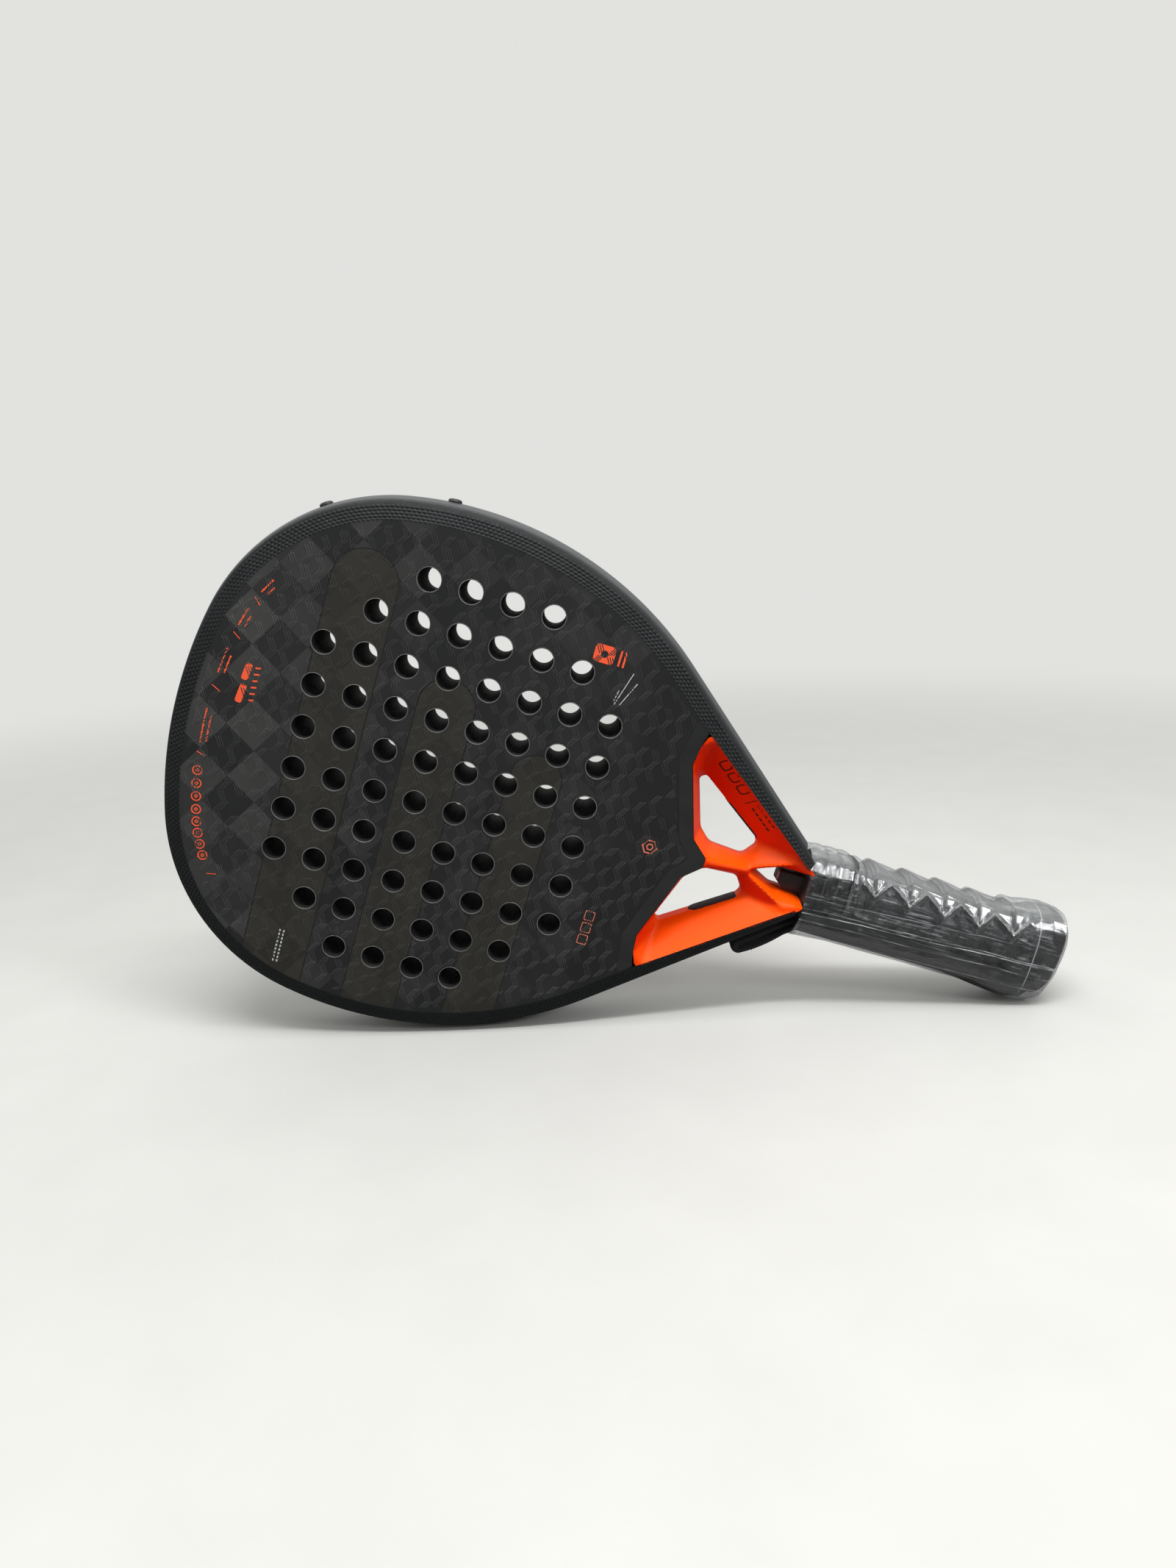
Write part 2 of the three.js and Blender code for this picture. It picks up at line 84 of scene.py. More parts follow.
# Drilled faces
SKIN = 1.2
HOLE_PITCH = (19.64, 20.55)
HOLE_RADIUS = 5.55
HOLE_SEGMENTS = 48
FACE_HEIGHT = HALF_DEPTH - 0.03
FACE_OVERLAP = 0.35
SIDES = ((1, "front"), (-1, "rear"))
RIM_ROUND = 0.22
ROW_SPANS = ((2, 5), (1, 6), (0, 7), (0, 7), (0, 7), (0, 7), (0, 7), (0, 7), (1, 6), (2, 5))

# Throat, upper half
THROAT_TIP = ((119.0, 59.0), (116.6, 60.4), (115.2, 59.6))
THROAT_EDGE = ((111.9, 45.0), (123.6, 10.2), (132.4, 2.4))
THROAT_SIDE = (*THROAT_TIP, (112.9, 54.0), *THROAT_EDGE)
WINDOW = ((122.6, 39.6), (119.6, 37.4), (128.0, 13.4), (135.4, 6.4), (153.2, 5.2), (158.6, 12.4),
          (156.4, 16.2))
ARM_TIP = (186.0, 9.6)
WAIST = 3.1
CREST_TOP = HALF_DEPTH - 0.15
DAMPER_PLACE = 29.9
DAMPER_LENGTH = 20.0
DAMPER_HEIGHT = 7.4

# Handle: stations of x, centre y, half width, half depth
GRIP = ((207.4, 0, 19.2, 15.6), (295, 0, 19.2, 15.6), (303, 0, 20.8, 16.6), (311, 0, 22.6, 17.6),
        (317.5, 0, 22.0, 17.2), (320.4, 0, 19.6, 15.4))
FILM = ((185.7, -3.6, 23.0, 18.9), (206, -2.6, 22.5, 18.9), (282, -2.6, 22.5, 18.9), (301, -3, 25.2, 19.0),
        (311, -2, 25.6, 19.0), (318.5, -0.9, 23.8, 18.4), (322.4, 0, 17.6, 14.0))
SECTION_POWER = 0.72
PAD_START = 218.3
PAD_LENGTH = 18.35
PAD_ROWS = 6
PAD_DEPTH = 1.4
SAW_DEPTH = 4.8
FILM_SAG = 2.4
FOLD_HEIGHT = 1.15
GRIP_GIRTH = 110.0
GIRTH_SHIFT = -10.9
COLLAR_START = 186.4
COLLAR_END = 206.9
COLLAR_BAND = 6.85

random.seed(7)


# ---- small tools ----

def to_row(points):
    return np.asarray(points, float) @ AXES * MM + ORIGIN


def add_piece(name, points, faces, material, body="racket", slot=None, replaces=(), sharp=32):
    """A closed piece from local millimetre points, which are kept as an attribute for the materials."""
    points = np.asarray(points, float)
    mesh = bpy.data.meshes.new(name)
    mesh.from_pydata(to_row(points).tolist(), [], [list(face) for face in faces])
    attribute = mesh.attributes.new("local", "FLOAT_VECTOR", "POINT")
    attribute.data.foreach_set("vector", points.astype(np.float32).ravel())
    tidy = bmesh.new()
    tidy.from_mesh(mesh)
    bmesh.ops.recalc_face_normals(tidy, faces=tidy.faces)
    tidy.to_mesh(mesh)
    tidy.free()
    mesh.shade_smooth()
    mesh.set_sharp_from_angle(angle=math.radians(sharp))
    piece = bpy.data.objects.new(name, mesh)
    bpy.context.scene.collection.objects.link(piece)
    mesh.materials.append(material)
    if body:
        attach(piece, body)
    if replaces:
        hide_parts(*replaces)
    return piece


def loft(rings, ends="cap"):
    """Points and faces through rings of equally many points. ends: cap closes both ends, loop joins them."""
    rings = np.asarray(rings, float)
    count, size, _ = rings.shape
    last = count if ends == "loop" else count - 1
    row, column = np.meshgrid(np.arange(last), np.arange(size), indexing="ij")
    after, beside = (row + 1) % count, (column + 1) % size
    corners = (row * size + column, row * size + beside, after * size + beside, after * size + column)
    faces = np.stack(corners, -1).reshape(-1, 4).tolist()
    if ends == "cap":
        faces.append(list(range(size)))
        faces.append(list(range((count - 1) * size, count * size)))
    return rings.reshape(-1, 3), faces


def joined(*parts):
    """Several (points, faces) as one."""
    points, faces, start = [], [], 0
    for part_points, part_faces in parts:
        points.append(np.asarray(part_points, float).reshape(-1, 3))
        faces.extend([[i + start for i in face] for face in part_faces])
        start += len(points[-1])
    return np.concatenate(points), faces


def smoothstep(low, high, value):
    t = np.clip((value - low) / (high - low), 0, 1)
    return t * t * (3 - 2 * t)


def full_turn(count):
    return 2 * np.pi * np.arange(count) / count


def signed_power(value, power):
    return np.sign(value) * np.abs(value) ** power


def rectangle(x, y, half_x, half_y):
    return [(x + a * half_x, y + b * half_y) for a, b in ((-1, -1), (1, -1), (1, 1), (-1, 1))]


def mirrored(outline):
    return [(x, -y) for x, y in reversed(outline)]


def rounded_outline(outline, radius, steps=5):
    """A closed outline with each corner replaced by a short curve."""
    outline = [Vector(point) for point in outline]
    result = []
    for i, corner in enumerate(outline):
        before, after = outline[i - 1] - corner, outline[(i + 1) % len(outline)] - corner
        reach = min(radius, before.length * 0.45, after.length * 0.45)
        a, b = corner + before.normalized() * reach, corner + after.normalized() * reach
        for step in range(steps + 1):
            t = step / steps
            result.append(tuple(a.lerp(corner, t).lerp(corner.lerp(b, t), t)))
    return result


def resampled(outline, spacing):
    """A closed outline with points added along its longer sides."""
    result = []
    for i, point in enumerate(outline):
        start, end = np.array(point), np.array(outline[(i + 1) % len(outline)])
        count = max(1, round(np.linalg.norm(end - start) / spacing))
        result.extend(tuple(start + (end - start) * k / count) for k in range(count))
    return result


def inside(points, outline):
    """Which points lie inside a closed outline."""
    points, corners = np.asarray(points, float), np.asarray(outline, float)
    found = np.zeros(len(points), bool)
    for (x1, y1), (x2, y2) in zip(corners, np.roll(corners, -1, axis=0)):
        crosses = (y1 > points[:, 1]) != (y2 > points[:, 1])
        if crosses.any():
            found[crosses] ^= points[crosses, 0] < x1 + (x2 - x1) * (points[crosses, 1] - y1) / (y2 - y1)
    return found


def wall_faces(loops, size, start=0):
    """Faces that join closed loops, which follow each other, to the same loops size points later."""
    faces = []
    for loop in loops:
        count = len(loop)
        for i in range(count):
            a, b = start + i, start + (i + 1) % count
            faces.append([a, b, size + b, size + a])
        start += count
    return faces


def triangles_over(outlines, extra=()):
    """Triangles over the convex hull of closed outlines and extra points, which keep their order."""
    points, edges = [], []
    for outline in outlines:
        start, size = len(points), len(outline)
        points.extend(outline)
        edges.extend((start + i, start + (i + 1) % size) for i in range(size))
    points.extend(extra)
    return np.array(points, float), triangulated(points, edges)


def triangulated(points, edges):
    vectors = [Vector((float(x), float(y))) for x, y in points]
    _, _, faces, origins, _, _ = geometry.delaunay_2d_cdt(vectors, edges, [], 0, 1e-6)
    return np.array([[origins[i][0] for i in face] for face in faces])


# ---- the rail ----

RAIL_ARC_LENGTH = sum(radius * math.radians(turn) for radius, turn in ARCS)
RAIL_END = RAIL_ARC_LENGTH + ARM_LENGTH


def rail_at(distance):
    """Point and inward normal at distances along the contour from the tip; negative is the lower half."""
    distance = np.asarray(distance, float)
    left = np.abs(distance)
    x, y = np.full_like(left, TIP_X), np.zeros_like(left)
    heading = np.full_like(left, math.pi / 2)
    for radius, turn in ARCS:
        angle = np.minimum(math.radians(turn), left / radius)
        x = x + radius * (np.sin(heading) - np.sin(heading - angle))
        y = y + radius * (np.cos(heading - angle) - np.cos(heading))
        heading = heading - angle
        left = left - angle * radius
    left = np.maximum(left, 0)
    x, y = x + left * np.cos(heading), y + left * np.sin(heading)
    side = np.where(distance < 0, -1.0, 1.0)
    return x, side * y, np.sin(heading), -side * np.cos(heading)


def arm_scale(x):
    """Width of the frame's section against its width on the head: it narrows along the arm."""
    along = np.clip((x - ARM_TAPER_START_X) / (ARM_END_X - ARM_TAPER_START_X), 0, 1.1)
    return 1 - (1 - ARM_TAPER) * along


def rail_points(distances, insets, heights):
    """Rings of local points: one ring for each distance, with the profile's insets and heights."""
    x, y, nx, ny = (value[:, None] for value in rail_at(distances))
    insets = np.broadcast_to(insets, (len(distances), np.shape(insets)[-1]))
    heights = np.broadcast_to(heights, insets.shape)
    total = np.minimum(insets, BAND_OUTER) + np.maximum(0, insets - BAND_OUTER) * arm_scale(x)
    return np.stack([x + nx * total, y + ny * total, heights], -1)


def bulge(z):
    """Inset of the frame's rounded side wall at a height."""
    return BAND_OUTER * (np.asarray(z) / (HALF_DEPTH - BAND_DROP)) ** 2


# ---- materials ----

class Tree:
    """Builds a node tree with short calls."""

    def __init__(self, tree):
        self.tree = tree

    def new(self, kind):
        return self.tree.nodes.new(kind)

    def link(self, value, socket):
        if isinstance(value, bpy.types.NodeSocket):
            self.tree.links.new(value, socket)
        else:
            socket.default_value = value

    def math(self, operation, a, b=0.0, c=0.0):
        node = self.new("ShaderNodeMath")
        node.operation = operation
        for value, socket in zip((a, b, c), node.inputs):
            self.link(value, socket)
        return node.outputs[0]

    def vector(self, operation, a, b):
        node = self.new("ShaderNodeVectorMath")
        node.operation = operation
        self.link(a, node.inputs[0])
        self.link(b, node.inputs[1])
        return node.outputs[0]

    def split(self, vector):
        node = self.new("ShaderNodeSeparateXYZ")
        self.link(vector, node.inputs[0])
        return node.outputs[0], node.outputs[1], node.outputs[2]

    def ramp(self, value, low, high, to_low=0.0, to_high=1.0, kind="LINEAR"):
        node = self.new("ShaderNodeMapRange")
        node.interpolation_type = kind
        for number, socket in zip((value, low, high, to_low, to_high), node.inputs):
            self.link(number, socket)
        return node.outputs[0]

    def blend(self, factor, a, b):
        node = self.new("ShaderNodeMix")
        node.data_type = "RGBA"
        self.link(factor, node.inputs[0])
        for value, socket in ((a, node.inputs[6]), (b, node.inputs[7])):
            self.link(value if isinstance(value, bpy.types.NodeSocket) else (*value, 1.0), socket)
        return node.outputs[2]

    def shader_mix(self, factor, a, b):
        node = self.new("ShaderNodeMixShader")
        for value, socket in zip((factor, a, b), node.inputs):
            self.link(value, socket)
        return node.outputs[0]

    def camera_ray(self):
        return self.new("ShaderNodeLightPath").outputs["Is Camera Ray"]


class Nodes(Tree):
    """A material's node tree, working in the piece's local millimetres."""

    def __init__(self, name, from_cad=False):
        self.material = bpy.data.materials.new(name)
        self.material.use_nodes = True
        super().__init__(self.material.node_tree)
        self.shader = self.tree.nodes["Principled BSDF"]
        self.output = self.tree.nodes["Material Output"]
        if from_cad:
            place = self.new("ShaderNodeTexCoord").outputs["Object"]
            self.place = self.vector("MULTIPLY", place, (1000, 1000, 1000))
        else:
            attribute = self.new("ShaderNodeAttribute")
            attribute.attribute_name = "local"
            self.place = attribute.outputs["Vector"]

    def stretch(self, x, y, z):
        return self.vector("MULTIPLY", self.place, (x, y, z))

    def noise(self, scale, detail=3.0, place=None, roughness=0.55):
        node = self.new("ShaderNodeTexNoise")
        self.link(self.place if place is None else place, node.inputs["Vector"])
        node.inputs["Scale"].default_value = scale
        node.inputs["Detail"].default_value = detail
        node.inputs["Roughness"].default_value = roughness
        return node.outputs["Fac"]

    def bump(self, height, distance, strength=1.0):
        node = self.new("ShaderNodeBump")
        self.link(height, node.inputs["Height"])
        node.inputs["Distance"].default_value = distance * MM
        node.inputs["Strength"].default_value = strength
        return node.outputs[0]

    def finish(self, color=None, roughness=None, normal=None, **values):
        for value, name in ((color, "Base Color"), (roughness, "Roughness"), (normal, "Normal")):
            if value is not None:
                self.link(value if not isinstance(value, tuple) else (*value, 1.0), self.shader.inputs[name])
        for name, value in values.items():
            self.link(value, self.shader.inputs[name.replace("_", " ").title().replace("Ior", "IOR")])
        return self.material


def grainy(name, dark, light, roughness, grain=0.9, depth=0.12, from_cad=False, wear=0.0):
    """Moulded plastic, rubber or foam: blotchy colour over a fine grain."""
    n = Nodes(name, from_cad)
    patches = n.ramp(n.noise(0.09, 4), 0.3, 0.7)
    color = n.blend(patches, dark, light)
    if wear:
        scuffs = n.ramp(n.noise(0.55, 6, n.stretch(1, 1, 0.4)), 0.62, 0.72, 0, wear)
        color = n.blend(scuffs, color, tuple(3.5 * c + 0.05 for c in light))
    fine = n.noise(grain * 3, 4)
    rough = n.ramp(n.noise(0.4, 3), 0.25, 0.75, roughness - 0.06, roughness + 0.07)
    return n.finish(color, rough, n.bump(fine, depth, 0.6))


def frame_paint():
    n = Nodes("frame_paint")
    color = n.blend(n.ramp(n.noise(0.05, 4), 0.3, 0.7), (0.006, 0.0075, 0.008), (0.0105, 0.0125, 0.0135))
    chips = n.math("GREATER_THAN", n.noise(0.9, 5, roughness=0.7), 0.80)
    color = n.blend(chips, color, (0.16, 0.16, 0.155))
    rough = n.ramp(n.noise(0.35, 5), 0.3, 0.7, 0.46, 0.6)
    return n.finish(color, rough, n.bump(n.noise(2.4, 3), 0.05, 0.5), specular_ior_level=0.28)


def guard_plastic():
    n = Nodes("guard_plastic")
    color = n.blend(n.ramp(n.noise(0.04, 5), 0.3, 0.7), (0.021, 0.024, 0.027), (0.033, 0.037, 0.041))
    lines = n.noise(0.8, 4, n.stretch(0.25, 0.25, 6))
    rough = n.ramp(lines, 0.3, 0.7, 0.3, 0.46)
    return n.finish(color, rough, n.bump(n.noise(3.2, 3), 0.04, 0.5), specular_ior_level=0.6)


CHECKER_SIDE = 17.7
CHECKER_TURN = math.radians(58)
STRIPES = ((-57.0, 15.5, 82.5), (-7.0, 13.5, 38.0), (42.5, 12.5, 16.0))


def raised_by(amount, color):
    return tuple(amount + part for part in color)


def face_laminate(name, raised, roughness):
    """Matte laminate: a turned checker of two weaves, its contrast partly painted sheen, and three broad dull
    stripes with rounded tops.
    """
    n = Nodes(name)
    x, y, _ = n.split(n.place)
    c, s = math.cos(CHECKER_TURN), math.sin(CHECKER_TURN)
    u = n.math("ADD", n.math("MULTIPLY", x, c), n.math("MULTIPLY", y, s))
    v = n.math("SUBTRACT", n.math("MULTIPLY", y, c), n.math("MULTIPLY", x, s))
    u, v = (n.math("FLOOR", n.math("DIVIDE", value, CHECKER_SIDE)) for value in (u, v))
    odd = n.math("FLOORED_MODULO", n.math("ADD", u, v), 2)
    cell = n.math("ADD", n.math("MULTIPLY", u, 3.17), n.math("MULTIPLY", v, 7.31))
    cell_shade = n.math("FRACT", n.math("MULTIPLY", n.math("SINE", cell), 43.7))
    strands = n.noise(1.0, 2, n.vector("MULTIPLY", n.place, (3.2, 0.35, 1)))
    crossed = n.noise(1.0, 2, n.vector("MULTIPLY", n.place, (0.35, 3.2, 1)))
    weave = n.ramp(odd, 0, 1, crossed, strands)

    stripe, edge = 0.0, 0.0
    for centre, half, top in STRIPES:
        dx = n.math("SUBTRACT", x, centre)
        dy = n.math("MAXIMUM", n.math("SUBTRACT", y, top), 0)
        far = n.math("SQRT", n.math("ADD", n.math("MULTIPLY", dx, dx), n.math("MULTIPLY", dy, dy)))
        stripe = n.math("MAXIMUM", stripe, n.math("LESS_THAN", far, half))
        from_edge = n.math("ABSOLUTE", n.math("SUBTRACT", far, half))
        edge = n.math("MAXIMUM", edge, n.math("LESS_THAN", from_edge, 0.28))

    shade = n.math("ADD", n.math("MULTIPLY", odd, 0.62), n.math("MULTIPLY", cell_shade, 0.38))
    # Painted sheen: the checker's contrast is raised at the left and along the top, where the patches catch the
    # light, and lowered towards the right.
    painted_sheen_envelope = n.math("ADD", n.ramp(x, -105, -15, 0.82, 0.24), n.ramp(y, 60, 115, 0.0, 0.12))
    cloud = n.ramp(n.noise(0.035, 3), 0.3, 0.7, 0.75, 1.2)
    level = n.math("MULTIPLY", n.math("MULTIPLY", shade, painted_sheen_envelope), cloud)
    # On the relief, raised lightens every colour by 0.02: a painted highlight on the lit ridges. The plain face
    # uses 0.
    dark, pale = raised_by(raised, (0.0065, 0.007, 0.0075)), raised_by(raised, (0.06, 0.061, 0.059))
    color = n.blend(level, dark, pale)
    color = n.blend(n.ramp(x, 80, 88, 0, 0.6), color, raised_by(raised, (0.0045, 0.0047, 0.005)))
    brown_dark = raised_by(0.6 * raised, (0.0145, 0.0135, 0.0105))
    brown_pale = raised_by(0.6 * raised, (0.025, 0.0235, 0.0185))
    worn = n.blend(shade, brown_dark, brown_pale)
    color = n.blend(n.math("MULTIPLY", stripe, 0.92), color, worn)
    color = n.blend(n.math("MULTIPLY", edge, 0.8), color, (0.003, 0.003, 0.003))
    sparkle = n.ramp(n.noise(2.8, 2), 0.4, 0.7, -0.04, 0.05)
    rough = n.math("ADD", n.ramp(shade, 0, 1, roughness + 0.08, roughness - 0.06), sparkle)
    rough = n.math("MULTIPLY_ADD", stripe, 0.08, rough)
    height = n.math("SUBTRACT", n.math("MULTIPLY", weave, 0.035), n.math("MULTIPLY", edge, 0.08))
    return n.finish(color, rough, n.bump(height, 1.0, 0.9), specular_ior_level=0.5)


def throat_paint():
    """Bright orange paint with painted light and shade: lighter and yellower on the surfaces that face up, deeper
    red on those that face down.
    """
    n = Nodes("throat_paint")
    normal = n.new("ShaderNodeNewGeometry").outputs["Normal"]
    _, _, up = n.split(normal)
    # Painted light and shade: the orange runs from a deep red on downward faces to a bright yellower orange on
    # upward faces, as if lit from above.
    color = n.blend(n.ramp(up, -0.35, 0.55), (0.86, 0.024, 0.003), (0.96, 0.088, 0.0004))
    mottled = n.ramp(n.noise(0.06, 4), 0.3, 0.7, 0.0, 0.18)
    color = n.blend(mottled, color, (0.93, 0.05, 0.002))
    specks = n.ramp(n.noise(1.6, 4), 0.70, 0.76, 0, 0.35)
    color = n.blend(specks, color, (0.75, 0.05, 0.004))
    rough = n.ramp(n.noise(0.5, 4), 0.3, 0.7, 0.34, 0.46)
    return n.finish(color, rough, n.bump(n.noise(1.3, 3), 0.05, 0.5), specular_ior_level=0.12)


def webbing(name, rib_axis_scale):
    """Woven black webbing: fine threads across the ribs, fuzzy sheen."""
    n = Nodes(name)
    threads = n.noise(1.0, 2, n.vector("MULTIPLY", n.place, rib_axis_scale))
    color = n.blend(threads, (0.0035, 0.0035, 0.004), (0.012, 0.012, 0.013))
    return n.finish(color, n.ramp(threads, 0, 1, 0.7, 0.95), n.bump(threads, 0.35, 0.8), sheen_weight=0.06)


def grip_wrap():
    """Tacky grip rubber: mottled grey with dark pores, and rows of small dark squares round the butt."""
    n = Nodes("grip_wrap")
    x, y, _ = n.split(n.place)
    mottle = n.ramp(n.noise(0.3, 6, roughness=0.7), 0.36, 0.64)
    mottle = n.math("MULTIPLY", mottle, n.ramp(n.noise(0.05, 2), 0.3, 0.7, 0.5, 1))
    color = n.blend(mottle, (0.013, 0.0135, 0.014), (0.088, 0.092, 0.094))
    pores = n.noise(1.3, 3)
    color = n.blend(n.ramp(pores, 0.56, 0.64, 0, 0.85), color, (0.007, 0.007, 0.007))
    across, along = (n.math("SINE", n.math("MULTIPLY", value, 2.9)) for value in (x, y))
    waves = n.math("MULTIPLY", across, along)
    butt = n.ramp(x, 307.0, 308.0)
    color = n.blend(n.math("MULTIPLY", butt, 0.7), color, (0.055, 0.056, 0.057))
    squares = n.math("MULTIPLY", n.math("GREATER_THAN", n.math("ABSOLUTE", waves), 0.22), butt)
    color = n.blend(n.math("MULTIPLY", squares, 0.85), color, (0.005, 0.005, 0.005))
    fine = n.noise(2.6, 4)
    return n.finish(color, n.ramp(fine, 0.3, 0.7, 0.5, 0.7), n.bump(fine, 0.16, 0.8))


# Fine bright lines down the front of the film: height at x = 250, slope and strength
FILM_LINES = ((-7.2, 0.045, 0.4), (-5.6, 0.033, 0.22), (-12.2, 0.028, 0.25), (-20.2, 0.045, 0.5),
              (1.2, 0.05, 0.12))
SEAM_X = 305.6


def clear_film():
    """Thin clear film: see-through and glossy, with milky streaks, fine bright lines and extra milky haze on the
    faces that point up, painted light on the top side.
    """
    n = Nodes("clear_film")
    x, y, z = n.split(n.place)
    _, _, up = n.split(n.new("ShaderNodeNewGeometry").outputs["Normal"])
    streaks = n.ramp(n.noise(1.0, 5, n.stretch(0.035, 0.9, 0.9), 0.7), 0.5, 0.74, 0.0, 0.24)
    haze = n.math("MULTIPLY", streaks, n.ramp(n.noise(0.13, 4), 0.45, 0.62))
    haze = n.math("MULTIPLY", haze, n.ramp(y, -17.0, -5.0, 0.15, 1.0))
    # Painted light: faces that point up get extra milky haze, so the top side of the film reads lit from above.
    haze = n.math("ADD", haze, n.ramp(up, 0.2, 0.95, 0.0, 0.035))
    wave = n.math("MULTIPLY", n.math("SUBTRACT", n.noise(1.0, 3, n.stretch(0.03, 0.1, 0.1)), 0.5), 2.4)
    seen = n.ramp(n.noise(1.0, 3, n.stretch(0.07, 0.3, 0.3)), 0.42, 0.6, 0.15, 1.0)
    seen = n.math("MULTIPLY", seen, n.math("GREATER_THAN", z, 4.0))
    for height, slope, strength in FILM_LINES:
        line = n.math("ADD", n.math("MULTIPLY_ADD", n.math("SUBTRACT", x, 250.0), slope, height), wave)
        near = n.ramp(n.math("ABSOLUTE", n.math("SUBTRACT", y, line)), 0.1, 0.34, strength, 0.0)
        haze = n.math("MAXIMUM", haze, n.math("MULTIPLY", near, seen))
    seam = n.math("ABSOLUTE", n.math("SUBTRACT", n.math("MULTIPLY_ADD", y, 0.06, x), SEAM_X))
    haze = n.math("MAXIMUM", haze, n.ramp(seam, 0.12, 0.4, 0.16, 0.0))
    crease = n.math("ABSOLUTE", n.math("SUBTRACT", n.noise(0.32, 4, n.stretch(0.6, 1.0, 1.0)), 0.5))
    normal = n.bump(n.math("ADD", crease, n.math("MULTIPLY", n.noise(1.5, 3), 0.1)), 1.3, 0.16)
    n.finish((0.62, 0.65, 0.66), 0.3, normal)
    clear = n.new("ShaderNodeBsdfTransparent")
    clear.inputs[0].default_value = (0.97, 0.975, 0.98, 1.0)
    gloss = n.new("ShaderNodeBsdfGlossy")
    gloss.inputs["Roughness"].default_value = 0.16
    turn = n.new("ShaderNodeFresnel")
    turn.inputs["IOR"].default_value = 1.42
    for node in (gloss, turn):
        n.link(normal, node.inputs["Normal"])
    shine = n.shader_mix(n.math("MINIMUM", turn.outputs[0], 0.28), clear.outputs[0], gloss.outputs[0])
    n.link(n.shader_mix(haze, shine, n.shader.outputs[0]), n.output.inputs[0])
    return n.material


def print_ink(name, color):
    n = Nodes(name)
    worn = n.ramp(n.noise(1.9, 4), 0.56, 0.7, 0, 0.5)
    shade = n.blend(worn, color, tuple(0.45 * c for c in color))
    return n.finish(shade, n.ramp(n.noise(2.0, 2), 0.3, 0.7, 0.35, 0.55), n.bump(n.noise(4, 2), 0.02, 0.5))


def brushed_steel():
    n = Nodes("brushed_steel", from_cad=True)
    lines = n.noise(1.0, 4, n.stretch(0.4, 8, 8))
    color = n.blend(lines, (0.42, 0.43, 0.45), (0.58, 0.59, 0.61))
    return n.finish(color, n.ramp(lines, 0.2, 0.8, 0.25, 0.45), n.bump(lines, 0.05, 0.6), metallic=1.0)


PAINT = {
    "frame": frame_paint(),
    "guard": guard_plastic(),
    "face": face_laminate("face_laminate", 0.0, 0.48),
    # The relief material is painted 0.02 lighter than the face, a painted highlight on its ridges.
    "relief": face_laminate("face_relief", 0.02, 0.32),
    "border": grainy("border_lacquer", (0.012, 0.0125, 0.013), (0.018, 0.0185, 0.019), 0.36, 1.2, 0.03),
    "foam": grainy("core_foam", (0.0045, 0.0045, 0.005), (0.011, 0.011, 0.0115), 0.86, 0.8, 0.5),
    # The hole rims are painted pale: a painted highlight on the lit lip of each hole.
    "rim": grainy("hole_rim", (0.07, 0.072, 0.073), (0.16, 0.163, 0.162), 0.36, 1.2, 0.05),
    "orange": throat_paint(),
    "rubber": grainy("damper_rubber", (0.004, 0.004, 0.0045), (0.009, 0.009, 0.01), 0.7, 1.0, 0.1),
    "plastic": grainy("black_plastic", (0.009, 0.0088, 0.0085), (0.016, 0.016, 0.016), 0.5, 1.2, 0.1,
                      wear=0.12),
    "screw": grainy("screw_black", (0.012, 0.012, 0.013), (0.022, 0.022, 0.024), 0.4, 1.5, 0.05, wear=0.2),
    "collar": grainy("grip_collar", (0.014, 0.0145, 0.015), (0.026, 0.027, 0.028), 0.42, 1.0, 0.06),
    "grip": grip_wrap(),
    "film": clear_film(),
    "strap": webbing("strap_webbing", (4.5, 1.6, 1.6)),
    "orange_ink": print_ink("orange_ink", (0.95, 0.11, 0.035)),
    "white_ink": print_ink("white_ink", (0.5, 0.5, 0.49)),
    "pink_ink": print_ink("pink_ink", (0.66, 0.17, 0.11)),
    "dark_ink": print_ink("dark_ink", (0.018, 0.005, 0.004)),
    "label": print_ink("adjuster_label", (0.34, 0.20, 0.17)),
}


# ---- head ----

BUMP_LENGTH = 2.35
BUMP_ROW = 1.5
BUMP_HEIGHT = 0.55
RAIL_STEP = 0.39


def band_bumps(distances, depth):
    """Height of the staggered bumps at a place along and across the bevel band."""
    row = np.floor(depth / BUMP_ROW)
    across = depth / BUMP_ROW - row
    along = distances / BUMP_LENGTH + 0.5 * (row % 2)
    along = along - np.floor(along)
    pillow = (1 - np.abs(2 * along - 1) ** 3) * (1 - np.abs(2 * across - 1) ** 2.4)
    return BUMP_HEIGHT * pillow


